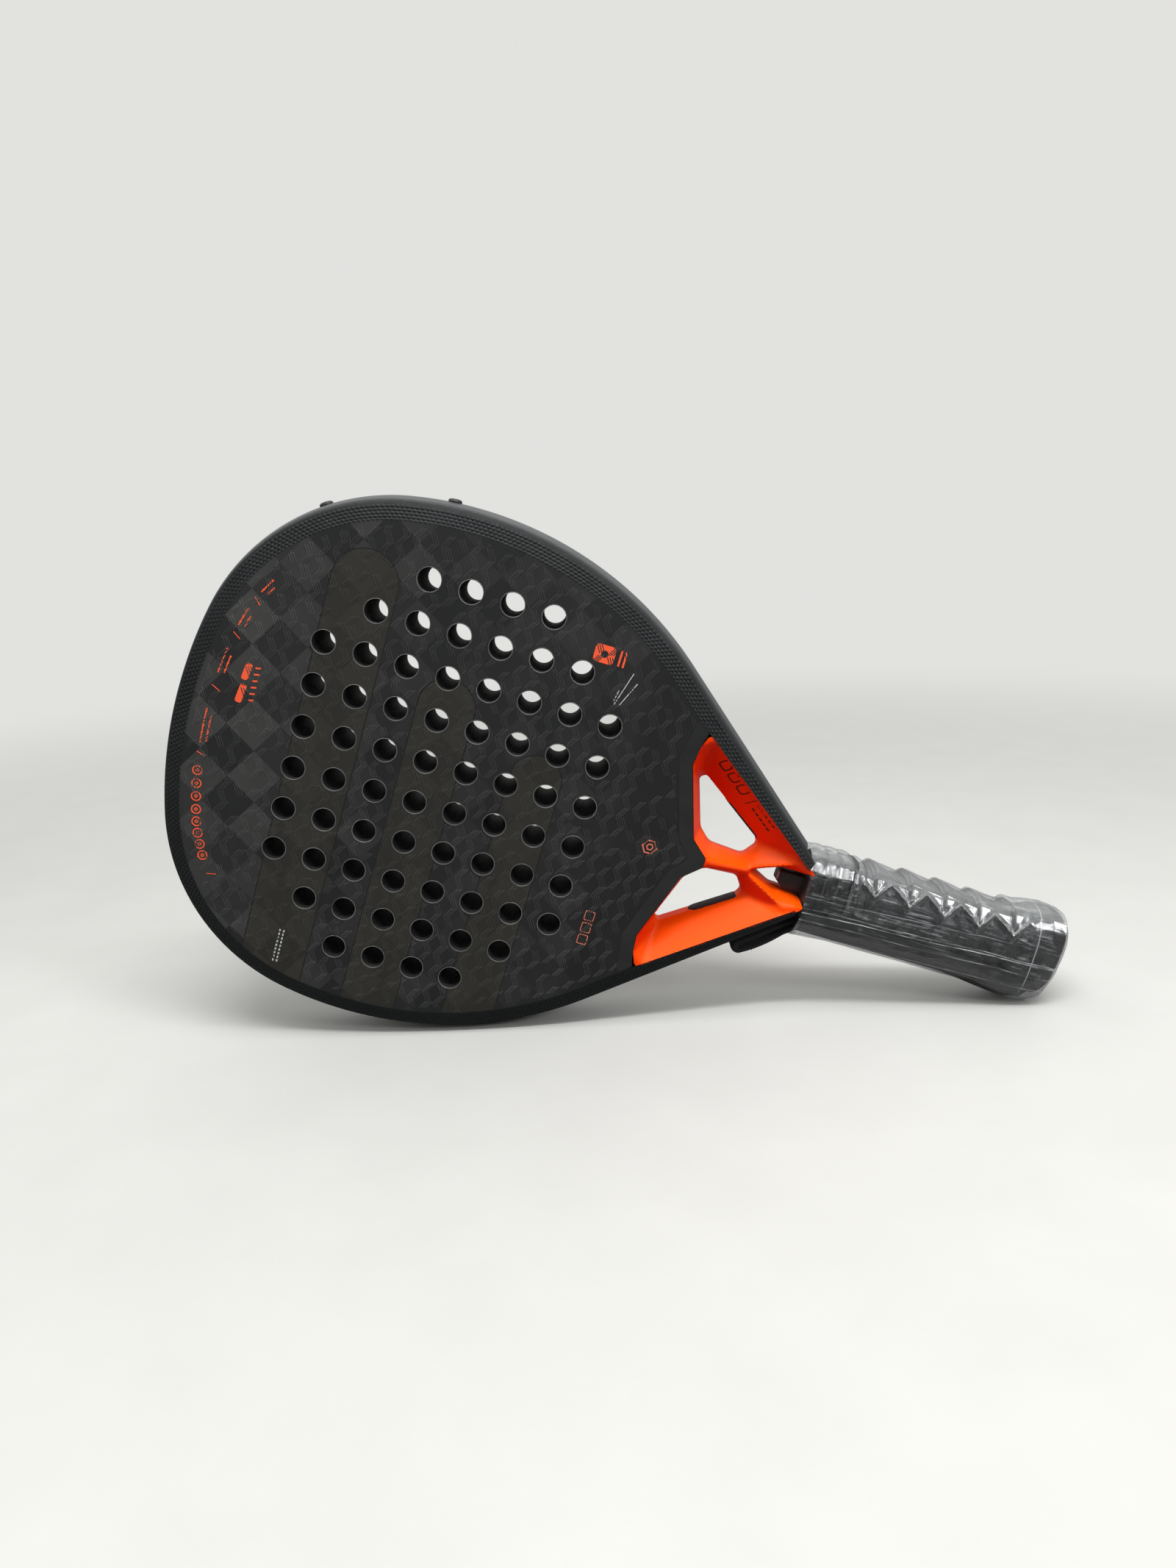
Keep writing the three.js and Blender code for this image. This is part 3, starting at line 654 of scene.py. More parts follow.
def head_frame():
    """The frame's shell: a bumpy bevel band on each side, a seat for the guard strip and a hollow inside."""
    distances = np.linspace(-RAIL_END, RAIL_END, round(2 * RAIL_END / RAIL_STEP))
    distances = distances[rail_at(distances)[0] < ARM_END_X + 0.2]
    scale = arm_scale(rail_at(distances)[0])[:, None]
    guard_top = GUARD_HALF_HEIGHT + GAP
    samples = np.linspace(0, 1, 27)
    width = BAND_INNER - BAND_OUTER
    inset = BAND_OUTER + width * samples
    rise = HALF_DEPTH - BAND_DROP + BAND_DROP * samples
    depth = width * samples[None, :] * scale
    edges = smoothstep(0.35, 0.9, depth) * smoothstep(0.15, 0.6, width * scale - depth)
    lift = (band_bumps(distances[:, None], depth - 0.5) - 0.35 * BUMP_HEIGHT) * edges
    corner = np.array([(bulge(guard_top), guard_top), (2.9, 14.3), (3.45, 15.4), (3.75, 15.8)])
    seat = np.array([(bulge(z) + GUARD_THICKNESS + GAP, z) for z in (guard_top, 4.0, -4.0, -guard_top)])
    hollow = np.array([(10.4, -15.4), (7.4, -14.2), (5.0, -8.0), (5.0, 8.0), (7.4, 14.2), (10.4, 15.4)])
    insets = np.concatenate([inset[::-1], corner[::-1, 0], seat[:, 0], corner[:, 0], inset, hollow[:, 0]])
    side = np.concatenate([corner[::-1, 1], seat[:, 1], -corner[:, 1]])
    side, back = (np.tile(values, (len(distances), 1)) for values in (side, hollow[:, 1]))
    heights = np.concatenate([(rise + lift)[:, ::-1], side, -(rise + lift), back], axis=1)
    rings = rail_points(distances, insets, heights)
    add_piece("head_frame_shell", *loft(rings), PAINT["frame"], slot="frame_carbon", replaces=["head_frame"],
              sharp=60)


def edge_guard():
    end = RAIL_ARC_LENGTH + GUARD_ALONG_ARM
    distances = np.linspace(-end, end, 480)
    edge = GUARD_HALF_HEIGHT - 0.5
    outer = [(bulge(z), z) for z in np.linspace(edge, -edge, 19)]
    lip = [(bulge(GUARD_HALF_HEIGHT) + inset, -GUARD_HALF_HEIGHT) for inset in (0.45, 1.1)]
    back = [(bulge(z) + GUARD_THICKNESS, z) for z in np.linspace(-edge, edge, 7)]
    top = [(inset, -z) for inset, z in reversed(lip)]
    profile = np.array(outer + lip + back + top)
    rings = rail_points(distances, profile[:, 0], profile[:, 1])
    add_piece("edge_guard_strip", *loft(rings), PAINT["guard"], slot="edge_guard", replaces=["edge_guard"],
              sharp=50)


def hole_centres():
    rows = len(ROW_SPANS)
    columns = 1 + max(last for _, last in ROW_SPANS)
    return [((first + i - (columns - 1) / 2) * HOLE_PITCH[0], ((rows - 1) / 2 - row) * HOLE_PITCH[1])
            for row, (first, last) in enumerate(ROW_SPANS) for i in range(last - first + 1)]


def circle(centre, radius, segments=HOLE_SEGMENTS):
    turn = full_turn(segments)
    return np.stack([centre[0] + radius * np.cos(turn), centre[1] + radius * np.sin(turn)], -1)


def face_outline(margin=GAP, overlap=FACE_OVERLAP):
    """Outline of the drilled face: a margin away from the throat, and an overlap under the bevel band."""
    distances = np.linspace(-RAIL_END, RAIL_END, 900)
    points = rail_points(distances, [BAND_INNER - overlap], [0.0])[:, 0, :2]
    points = points[points[:, 0] < THROAT_TIP[0][0] - 6.5]
    edge = [(115.0 - margin, 61.2), (113.6 - margin, 57.5), *[(x - margin, y) for x, y in THROAT_EDGE]]
    return mirrored(edge) + [tuple(p) for p in points] + edge


def drilled_plate(name, outline, rim, side, material, slot, replaces):
    """A plate through which every hole of the grid is drilled. rim: (radius, height) down one hole wall."""
    centres = hole_centres()
    rings = [circle(centre, rim[0][0]) for centre in centres]
    flat, triangles = triangles_over([outline, *[[tuple(p) for p in ring] for ring in rings]])
    middle = flat[triangles].mean(axis=1)
    away = np.min([np.hypot(*(middle - centre).T) for centre in centres], axis=0)
    triangles = triangles[inside(middle, outline) & (away > rim[0][0] * 0.995)]
    size, edge = len(flat), len(outline)
    levels = [flat]
    for radius, _ in rim[1:]:
        level = flat.copy()
        level[edge:] = np.concatenate([circle(centre, radius) for centre in centres])
        levels.append(level)
    heights = [np.full(size, side * height) for _, height in rim]
    points = np.concatenate([np.column_stack([level, height]) for level, height in zip(levels, heights)])
    bottom = (len(rim) - 1) * size
    faces = triangles.tolist() + (triangles[:, ::-1] + bottom).tolist()
    faces += wall_faces([outline], bottom)
    for level in range(len(rim) - 1):
        faces += wall_faces(rings, size, level * size + edge)
    keep = np.unique(np.concatenate([np.ravel(f) for f in faces]))
    lookup = dict(zip(keep.tolist(), range(len(keep))))
    faces = [[lookup[i] for i in face] for face in faces]
    add_piece(name, points[keep], faces, material, slot=slot, replaces=replaces, sharp=28)


def head_plates():
    """The two drilled skins, chamfered at every hole, and the two foam layers between them."""
    skin_rim = [(HOLE_RADIUS + 0.42, FACE_HEIGHT), (HOLE_RADIUS, FACE_HEIGHT - 0.35),
                (HOLE_RADIUS - 0.02, FACE_HEIGHT - SKIN)]
    core_rim = [(HOLE_RADIUS, height) for height in (FACE_HEIGHT - SKIN - 0.05, 9.0, 0.05)]
    for side, place in SIDES:
        drilled_plate(f"{place}_face_skin", face_outline(), skin_rim, side, PAINT["face"],
                      "face_laminate", [f"{place}_face"])
        drilled_plate(f"core_foam_{place}", face_outline(0.6, -0.6), core_rim, side, PAINT["foam"],
                      "core_foam", [f"core_{place}_layer"])


def hole_rims():
    """The rolled edge round every hole, front and rear, as one ring of material each, painted pale as a highlight
    on the lit lip.
    """
    turns = full_turn(8)
    radii = HOLE_RADIUS + 0.14 + RIM_ROUND * np.cos(turns)
    around = full_turn(HOLE_SEGMENTS)[:, None]
    x, y = radii * np.cos(around), radii * np.sin(around)
    for side, place in SIDES:
        z = np.broadcast_to(side * (FACE_HEIGHT - 0.17 + RIM_ROUND * np.sin(turns)), x.shape)
        rings = [loft(np.stack([centre[0] + x, centre[1] + y, z], -1), "loop") for centre in hole_centres()]
        add_piece(f"hole_rims_{place}", *joined(*rings), PAINT["rim"], slot="face_laminate", sharp=80)


CHEVRON_COLUMN = 6.6
CHEVRON_LEG = 5.15
CHEVRON_SWING = 3.0
CHEVRON_LINES = 3
CHEVRON_SPACING = 1.12
CHEVRON_KEPT = 0.82
RIDGE = ((-0.36, -0.06), (-0.16, 0.17), (0.16, 0.17), (0.36, -0.06))


def chevron_lines():
    """Fine raised zigzag lines in groups of three over both faces, broken at random and at every hole."""
    starts, ends = [], []
    for column in range(-20, 19):
        for leg in range(-24, 24):
            draw, lean = random.random(), (-1) ** (column + leg)
            if draw > CHEVRON_KEPT:
                continue
            start = np.array([column * CHEVRON_COLUMN + lean * CHEVRON_SWING / 2, leg * CHEVRON_LEG])
            for line in range(CHEVRON_LINES + (draw < 0.1)):
                starts.append(start + (line * CHEVRON_SPACING, 0.25 * line))
                ends.append(starts[-1] + (-lean * CHEVRON_SWING, CHEVRON_LEG))
    starts, ends = np.array(starts)[:, None], np.array(ends)[:, None]
    places = starts + (ends - starts) * np.linspace(0, 1, 6)[:, None]
    flat = places.reshape(-1, 2)
    away = np.min([np.hypot(*(flat - centre).T) for centre in hole_centres()], axis=0)
    good = (away > HOLE_RADIUS + 0.75) & inside(flat, face_outline(8.6, -1.6))
    good = good.reshape(-1, 6)
    runs = [line[mask] for line, mask in zip(places, good) if mask.sum() > 2 and unbroken(mask)]
    for side, place in SIDES:
        ridges = [loft(ridge_rings(run, side)) for run in runs]
        add_piece(f"face_relief_{place}", *joined(*ridges), PAINT["relief"], slot="face_laminate", sharp=25)


def unbroken(mask):
    first, last = np.flatnonzero(mask)[[0, -1]]
    return mask[first:last + 1].all()


def ridge_rings(run, side):
    """Rings of the small rounded ridge along a run of places, low at both ends."""
    along = (run[-1] - run[0]) / np.linalg.norm(run[-1] - run[0])
    across = np.array([-along[1], along[0]])
    rings = np.empty((len(run), len(RIDGE), 3))
    for column, (wide, high) in enumerate(RIDGE):
        rings[:, column, :2] = run + across * wide
        rings[:, column, 2] = side * (FACE_HEIGHT + high)
        if high > 0:
            rings[[0, -1], column, 2] = side * (FACE_HEIGHT + 0.15 * high)
    return rings


def throat_border():
    """The smooth black border between the patterned face and the throat, with a fine step at its edge."""
    edge = [(x - 0.35, y) for x, y in ((115.0, 61.0), (113.7, 57.5), *THROAT_EDGE)]
    inner = [(108.0, 66.4), (106.6, 58.0), (104.6, 45.6), (116.6, 8.4), (123.4, 1.2)]
    outline = list(reversed(mirrored(edge))) + list(reversed(edge)) + inner + mirrored(inner)
    outline = rounded_outline(outline, 1.6, 3)
    for side, place in SIDES:
        flat_shape(f"throat_border_{place}", [[outline]], side, 0.16, PAINT["border"], "face_laminate")


def face_level(points):
    return np.full(len(points), HALF_DEPTH)


def flat_shape(name, shapes, side, thickness, material, slot, surface=face_level):
    """Thin plates that lie on a surface. A shape is a list of loops: its outline and maybe a hole."""
    parts = []
    for loops in shapes:
        flat, triangles = triangles_over([[tuple(p) for p in loop] for loop in loops])
        middle = flat[triangles].mean(axis=1)
        keep = inside(middle, loops[0])
        for hole in loops[1:]:
            keep &= ~inside(middle, hole)
        triangles, size = triangles[keep], len(flat)
        base = surface(flat)
        points = np.concatenate([np.column_stack([flat, side * (base + rise)]) for rise in (-0.1, thickness)])
        faces = triangles[:, ::-1].tolist() + (triangles + size).tolist() + wall_faces(loops, size)
        parts.append((points, faces))
    add_piece(name, *joined(*parts), material, slot=slot, sharp=30)


# ---- prints: plain shapes only ----

def bar(x, y, length, width, turn):
    c, s = math.cos(math.radians(turn)), math.sin(math.radians(turn))
    corners = rectangle(0, 0, length / 2, width / 2)
    return [rounded_outline([(x + a * c - b * s, y + a * s + b * c) for a, b in corners], width * 0.3, 2)]


def ring(x, y, outer, inner, sides=28):
    return [circle((x, y), radius, sides) for radius in (outer, inner)]


def rim_place(distance, inset):
    """A place inside the rim, and the direction along the rim there in degrees."""
    x, y, nx, ny = (float(value) for value in rail_at(distance))
    side = math.copysign(1, distance)
    return x + nx * inset, y + ny * inset, math.degrees(math.atan2(side * nx, -side * ny))


def rim_prints():
    """Plain rings, ticks and short dashes that follow the rim at the tip of the head."""
    shapes = []
    for i in range(8):
        x, y, _ = rim_place(-26.5 - 7.0 * i, 19.5)
        shapes.append(ring(x, y, 2.4, 1.85))
        shapes.append(ring(x, y, 0.85, 0.4, 12))
    for distance in (-88.0, -17.5, 18.5, 48.0, 71.0):
        x, y, turn = rim_place(distance, 20.5)
        shapes.append(bar(x, y, 4.6, 0.36, turn + 68))
    for start, count in ((-11.0, 15), (27.0, 11), (54.0, 9), (77.0, 8)):
        for line, inset in ((0, 19.2), (1, 21.9)):
            for i in range(count - 3 * line):
                x, y, turn = rim_place(start + 1.25 * i + 0.9 * line, inset)
                shapes.append(bar(x, y, 0.62 + 0.3 * (i % 3 == 1), random.choice((0.9, 1.2)), turn + 90))
    return shapes


def face_prints():
    """Generic marks in the places of the printed ones: bars, dashes, rings, a tile and a hexagon."""
    slanted = bar(-99.8, 17.5, 9.0, 3.2, 82), bar(-99.2, 28.2, 8.2, 3.2, 82)
    slanted += tuple(bar(-94.6, 15.5 + 3.1 * i, 2.6, 0.8, 12) for i in range(6))
    tile = [rounded_outline(rectangle(56.5, 83.0, 4.9, 4.2), 2.2, 6), circle((56.5, 83.0), 1.7, 24)]
    tile = [tile, bar(64.0, 83, 7.6, 0.9, 90), bar(66.2, 83, 7.6, 0.9, 90)]
    strokes = [bar(69.8, 70.0, 17.0, 0.42, 74), bar(72.6, 68.2, 13.0, 0.42, 66),
               bar(67.4, 66.4, 6.5, 0.38, 80)]
    strokes += [bar(x, -107.5 + 2.0 * i, 1.2, 0.8, 90) for x in (-56.6, -54.7) for i in range(9)]
    outlines = [ring(104.4, 0.4, 4.0, 3.2, 6), ring(104.4, 0.4, 1.9, 1.2, 6)]
    for centre in (-54.3, -48.0, -41.7):
        outlines.append([rounded_outline(rectangle(86.7, centre, 2.5, 2.6), 0.9, 3),
                         rounded_outline(rectangle(86.7, centre, 2.1, 2.2), 0.7, 3)])
    for name, shapes, ink, slot in (("rim", rim_prints(), "orange_ink", "throat_orange"),
                                    ("slanted_bars", slanted, "orange_ink", "throat_orange"),
                                    ("rounded_tile", tile, "orange_ink", "throat_orange"),
                                    ("white_strokes", strokes, "white_ink", "weight_steel"),
                                    ("outline_shapes", outlines, "pink_ink", "throat_orange")):
        flat_shape(f"{name}_print", shapes, 1, 0.05, PAINT[ink], slot)


# ---- throat ----

# Places with heights on the front half: the crest that runs down the bridge, and the valley beside the window
CREST = ((146.0, 1.6, 14.6), (157.0, 1.3, 11.6), (178.0, 11.2, 17.6))
VALLEY = ((167.0, 13.6, 8.4), (173.5, 16.0, 15.2))
VALLEY_CORNER = 5
ARM_CORNER = (188.0, 8.6, CREST_TOP)
TAIL_CORNER = (161.0, 0.0, WAIST)
THROAT_SPACING = 1.15


def control_net():
    """Coarse triangles that carry the front heights of the upper half, mirrored below."""
    side = [(x, y, CREST_TOP) for x, y in (*THROAT_SIDE, (THROAT_EDGE[-1][0], 0.0))]
    window = [(x, y, WAIST) for x, y in (*WINDOW, WINDOW[0])]
    runs = ([ARM_CORNER, *side], window, [side[-2], *CREST, (184.0, 8.2, CREST_TOP), ARM_CORNER],
            [window[VALLEY_CORNER], *VALLEY], [TAIL_CORNER, (170.5, 4.7, WAIST), (188.0, 6.2, WAIST)],
            [side[-1], (147.0, 0.0, 14.4), (156.0, 0.0, 11.4), TAIL_CORNER])
    net, edges = [], []
    for run in runs:
        for place in run:
            if place not in net:
                net.append(place)
        keys = [net.index(place) for place in run]
        edges.extend(zip(keys, keys[1:]))
    return np.array(net), edges


def net_heights(points):
    """The net's height at each point, folded into the upper half."""
    net, edges = control_net()
    heights = np.full(len(points), WAIST)
    folded = np.column_stack([points[:, 0], np.abs(points[:, 1])])
    best = np.full(len(points), -np.inf)
    for a, b, c in net[triangulated(net[:, :2], edges)]:
        area = (b[0] - a[0]) * (c[1] - a[1]) - (b[1] - a[1]) * (c[0] - a[0])
        if abs(area) < 1e-9:
            continue
        u = ((folded[:, 0] - a[0]) * (c[1] - a[1]) - (folded[:, 1] - a[1]) * (c[0] - a[0])) / area
        v = ((b[0] - a[0]) * (folded[:, 1] - a[1]) - (b[1] - a[1]) * (folded[:, 0] - a[0])) / area
        score = np.minimum(np.minimum(u, v), 1 - u - v)
        better = score > best
        best[better] = score[better]
        heights[better] = (a[2] + u * (b[2] - a[2]) + v * (c[2] - a[2]))[better]
    return np.clip(heights, WAIST, CREST_TOP)


def relaxed(values, triangles, fixed, rounds):
    """Values drawn towards the mean of their neighbours, except where they are fixed."""
    pairs = np.concatenate([triangles[:, [0, 1]], triangles[:, [1, 2]], triangles[:, [2, 0]]])
    pairs = np.unique(np.concatenate([pairs, pairs[:, ::-1]]), axis=0)
    degree = np.maximum(np.bincount(pairs[:, 0], minlength=len(values)), 1)
    for _ in range(rounds):
        mean = np.bincount(pairs[:, 0], weights=values[pairs[:, 1]], minlength=len(values)) / degree
        values = np.where(fixed, values, 0.4 * values + 0.6 * mean)
    return values


def throat_outline():
    half = [(ARM_TIP[0], 6.4), ARM_TIP, *THROAT_SIDE]
    tail = [(170.5, -4.7), (161.0, 0.0), (170.5, 4.7)]
    corners = half + [(THROAT_EDGE[-1][0], 0.0)] + mirrored(half) + tail
    return resampled(rounded_outline(corners, 1.3, 4), THROAT_SPACING)


def throat_shell():
    """The moulded throat: two sheets that meet at the waist round each window, closed along the outline."""
    windows = [resampled(rounded_outline(shape, 2.6, 6), THROAT_SPACING)
               for shape in (WINDOW, mirrored(WINDOW))]
    loops = [throat_outline(), *windows]

    def on_moulding(points):
        return inside(points, loops[0]) & ~inside(points, windows[0]) & ~inside(points, windows[1])

    step = THROAT_SPACING
    grid = np.array([(x + (row % 2) * step / 2, y) for row, y in enumerate(np.arange(-62, 62, step * 0.87))
                     for x in np.arange(110, 187, step)])
    rims = np.concatenate([np.array(loop) for loop in loops])
    clear = np.array([np.min(np.hypot(*(rims - p).T)) > step * 0.6 for p in grid])
    flat, triangles = triangles_over(loops, [tuple(p) for p in grid[clear & on_moulding(grid)]])
    triangles = triangles[on_moulding(flat[triangles].mean(axis=1))]
    size = len(flat)
    height = relaxed(net_heights(flat), triangles, np.arange(size) < len(rims), 2)
    points = np.concatenate([np.column_stack([flat, height]), np.column_stack([flat, -height])])
    faces = triangles.tolist() + (triangles[:, ::-1] + size).tolist() + wall_faces(loops, size)
    add_piece("throat_moulding", points, faces, PAINT["orange"], slot="throat_orange",
              replaces=["throat_bridge"], sharp=38)


# Depth into the wall and how much the edge is drawn in
DAMPER_SECTION = ((1.0, 0.0), (0.0, 0.0), (-0.15, 0.05), (-0.3, 0.3))


def dampers():
    """Soft bars with round ends, let into the outer wall of each window at the waist."""
    a, b = np.array(WINDOW[0]), np.array(WINDOW[-1])
    direction = (b - a) / np.linalg.norm(b - a)
    outward = np.array([-direction[1], direction[0]])
    middle = a + direction * DAMPER_PLACE
    turns = np.linspace(-np.pi / 2, np.pi / 2, 13)
    for side, place in ((1, "upper"), (-1, "lower")):
        rings = []
        for depth, shrink in DAMPER_SECTION:
            radius = DAMPER_HEIGHT / 2 - shrink
            points = []
            for end, turn in [(1, t) for t in turns] + [(-1, -t) for t in turns]:
                reach = end * (DAMPER_LENGTH / 2 + radius * math.cos(turn))
                x, y = middle + direction * reach + outward * depth
                points.append((x, side * y, radius * math.sin(turn)))
            rings.append(points)
        add_piece(f"damper_bar_{place}", *loft(rings), PAINT["rubber"], slot="damper_rubber",
                  replaces=[f"damper_{place}"], sharp=50)


def throat_marks():
    """Plain dark marks along the upper arm of the throat, on its slope."""
    start, end = np.array([124.6, 50.7]), np.array([167.6, 18.0])
    along = (end - start) / np.linalg.norm(end - start)
    across = np.array([-along[1], along[0]])
    turn = math.degrees(math.atan2(along[1], along[0]))
    shapes = []
    for i in range(3):
        place = start + along * (4.0 + 7.4 * i)
        shapes.append(bar(*place, 5.8, 4.8, turn) + bar(*place, 4.4, 3.4, turn))
    shapes.append(bar(*(start + along * 26.5), 0.5, 6.4, turn))
    for line, shift in ((0, 1.5), (1, -1.5)):
        for i in range(5):
            place = start + along * (30.2 + 3.1 * i + 0.8 * line) + across * shift
            shapes.append(bar(*place, 2.2, 0.9, turn))
    flat_shape("throat_marks", shapes, 1, 0.06, PAINT["dark_ink"], "black_plastic", surface=net_heights)


# ---- screws ----

# Radius and height above the frame's edge, from the foot of the shank to the bottom of the recess
SCREW_PROFILE = ((1.35, -7.4), (1.35, -0.6), (3.1, -0.5), (3.3, 0.3), (3.1, 1.0), (2.5, 1.42), (1.5, 1.62),
                 (1.1, 1.66), (0.9, 1.1))


def screw_heads():
    """Low domed heads with a recess, standing on the edge of the head."""
    up = np.array([0.0, 0.0, 1.0])
    for number, distance in enumerate((125, 185, -125, -185), 1):
        x, y, nx, ny = (float(value) for value in rail_at(distance))
        base, out, tangent = np.array([x, y, 0.0]), np.array([-nx, -ny, 0.0]), np.array([-ny, nx, 0.0])
        rings = [[base + out * height + tangent * radius * math.cos(t) + up * radius * math.sin(t)
                  for t in full_turn(32)] for radius, height in SCREW_PROFILE]
        add_piece(f"screw_head_{number}", *loft(rings), PAINT["screw"], slot="screw_black",
                  replaces=[f"weight_screw_{number}"], sharp=40)


# ---- handle ----

def section(stations, xs, turns, swell=0.0):
    """Rounded-rectangle rings at each x, with an optional swell outwards (array of x by turn)."""
    stations = np.array(stations, float)
    xs = np.asarray(xs, float)
    centre, half_y, half_z = (np.interp(xs, stations[:, 0], stations[:, k])[:, None] for k in (1, 2, 3))
    y, z = (half * signed_power(value, SECTION_POWER)
            for half, value in ((half_y, np.cos(turns)), (half_z, np.sin(turns))))
    factor = 1 + swell / np.maximum(np.hypot(y, z), 1e-6)
    return np.stack([np.broadcast_to(xs[:, None], y.shape), centre + y * factor, z * factor], -1)


def pad_height(xs, turns, edge):
    """Six-sided pads laid like shingles: highest at their head end and top edge, 0 in the grooves."""
    arc = (turns / (2 * np.pi) * GRIP_GIRTH)[None, :] + GIRTH_SHIFT
    row_pitch = GRIP_GIRTH / PAD_ROWS
    x = xs[:, None] - PAD_START
    nearest = np.full((len(xs), len(turns)), 9.0)
    along, across = np.zeros_like(nearest), np.zeros_like(nearest)
    base = np.round(arc / row_pitch)
    for shift in (-1, 0, 1):
        row = base + shift
        dy = arc / row_pitch - row
        dx = (x / PAD_LENGTH - 0.5 * (np.abs(row) % 2))
        dx = dx - np.round(dx)
        far = np.maximum(np.abs(dx), 0.5 * np.abs(dx) + 0.75 * np.abs(dy)) * 2
        nearer = far < nearest
        nearest = np.where(nearer, far, nearest)
        along = np.where(nearer, dx, along)
        across = np.where(nearer, dy + 0 * dx, across)
    return smoothstep(0.0, edge, 1.0 - nearest) * (0.55 - 0.5 * along - 0.36 * across).clip(0, 1)


def ridge_part(xs):
    """How far along its ridge of the grip each place is, from 0 to 1."""
    part = (xs - PAD_START) / PAD_LENGTH
    return part - np.floor(part)


def saw_height(xs):
    """1 at the head end of each ridge of the grip, falling to 0 just before the next one."""
    part = ridge_part(xs)
    return np.where(part > 0.93, smoothstep(0.93, 1.0, part), 1 - part / 0.93)


def from_zigzag(xs, turns):
    """Distance round the handle from the zigzag fold on its upper front, positive below the fold."""
    part = ridge_part(xs)
    rise = np.where(part < 0.38, part / 0.38, (1 - part) / 0.62)
    fold = np.radians(74.8 - 25.8 * rise)
    return (turns[None, :] - fold[:, None]) * 22.0


def collar_bands(xs):
    return np.abs(np.sin(np.pi * (xs - COLLAR_START) / COLLAR_BAND)) ** 0.6


# Step along and inwards of the rings that round off the butt
BUTT_ROUND = ((0.5, 0.6), (0.8, 2.0), (0.6, 6.0), (0.3, 12.0))


def grip():
    """The outer wrap: stepped ridges on the upper side, shingled pads round the rest, dots at the butt."""
    xs = np.arange(GRIP[0][0], GRIP[-1][0], 0.62)
    turns = full_turn(210)
    fade = smoothstep(208, 213, xs)[:, None] * (1 - smoothstep(297, 305, xs))[:, None]
    upper = smoothstep(0.05, 0.5, np.cos(turns))[None, :]
    ridges = 0.9 - SAW_DEPTH * (1 - saw_height(xs))[:, None]
    pads = PAD_DEPTH * (pad_height(xs, turns, 0.25) - 1)
    swell = (ridges * upper + pads * (1 - upper)) * fade
    dots = np.maximum(0, np.sin(xs[:, None] * 3.1) * np.sin(turns * 40)[None, :])
    dots *= smoothstep(302, 306, xs)[:, None]
    rings = section(GRIP, xs, turns, swell + 0.4 * dots)
    closing = []
    for step, inwards in BUTT_ROUND:
        shrink = 1 - inwards / 22
        closing.append(rings[-1] * (1, shrink, shrink) + (step, 0, 0))
    add_piece("overgrip_wrap", *loft(np.concatenate([rings, closing])), PAINT["grip"], slot="grip_wrap",
              replaces=["overgrip", "butt_cap"], sharp=70)


def collar():
    xs = np.linspace(COLLAR_START, COLLAR_END, 60)
    turns = full_turn(96)
    grow = np.interp(xs, (COLLAR_START, 192, COLLAR_END), (-1.0, 0.0, 0.4))
    swell = (-1.6 + 2.0 * collar_bands(xs) + grow)[:, None] * np.ones(len(turns))
    rings = section([(180, 0, 18.0, 15.0), (210, 0, 18.3, 15.2)], xs, turns, swell)
    add_piece("grip_collar_rings", *loft(rings), PAINT["collar"], slot="grip_wrap", replaces=["grip_collar"],
              sharp=70)


# Long fine creases down the film: place round the handle, drift along it and height
LONG_CREASES = ((0.62, 0.0012, 0.18), (2.3, -0.0008, 0.24), (3.5, 0.0, 0.3), (4.62, 0.0011, 0.3),
                (5.35, -0.0008, 0.22))
FILM_LIMIT = 19.3
# Growth along and shrink towards the axis of the rings that close the film at the butt
FILM_CLOSING = ((0.9, 0.8), (1.5, 0.55), (1.8, 0.25), (1.9, 0.06))
FILM_WALL = 0.012


def film_creases(xs, turns):
    """Creases of the clear film: broad pulls, sharp folds and a few long fine ones down the handle."""
    swell = np.zeros((len(xs), len(turns)))
    for i, x in enumerate(xs):
        for j, turn in enumerate(turns):
            c, s = math.cos(turn), math.sin(turn)
            pull = abs(noise.noise(Vector((x * 0.03, c * 2.2 + 3, s * 2.2))))
            fold = abs(noise.noise(Vector((x * 0.11 + c * 2, c * 3.0, s * 3.0 + 9))))
            swell[i, j] = -0.9 * pull - 0.8 * fold + 0.12 * noise.noise(Vector((x * 0.3, c * 7, s * 7)))
    for turn, drift, height in LONG_CREASES:
        line = turn + drift * (xs - 250) + 0.02 * np.sin(xs * 0.05)
        away = (turns[None, :] - line[:, None] + np.pi) % (2 * np.pi) - np.pi
        swell += height * np.exp(-(away / 0.022) ** 2)
    return swell


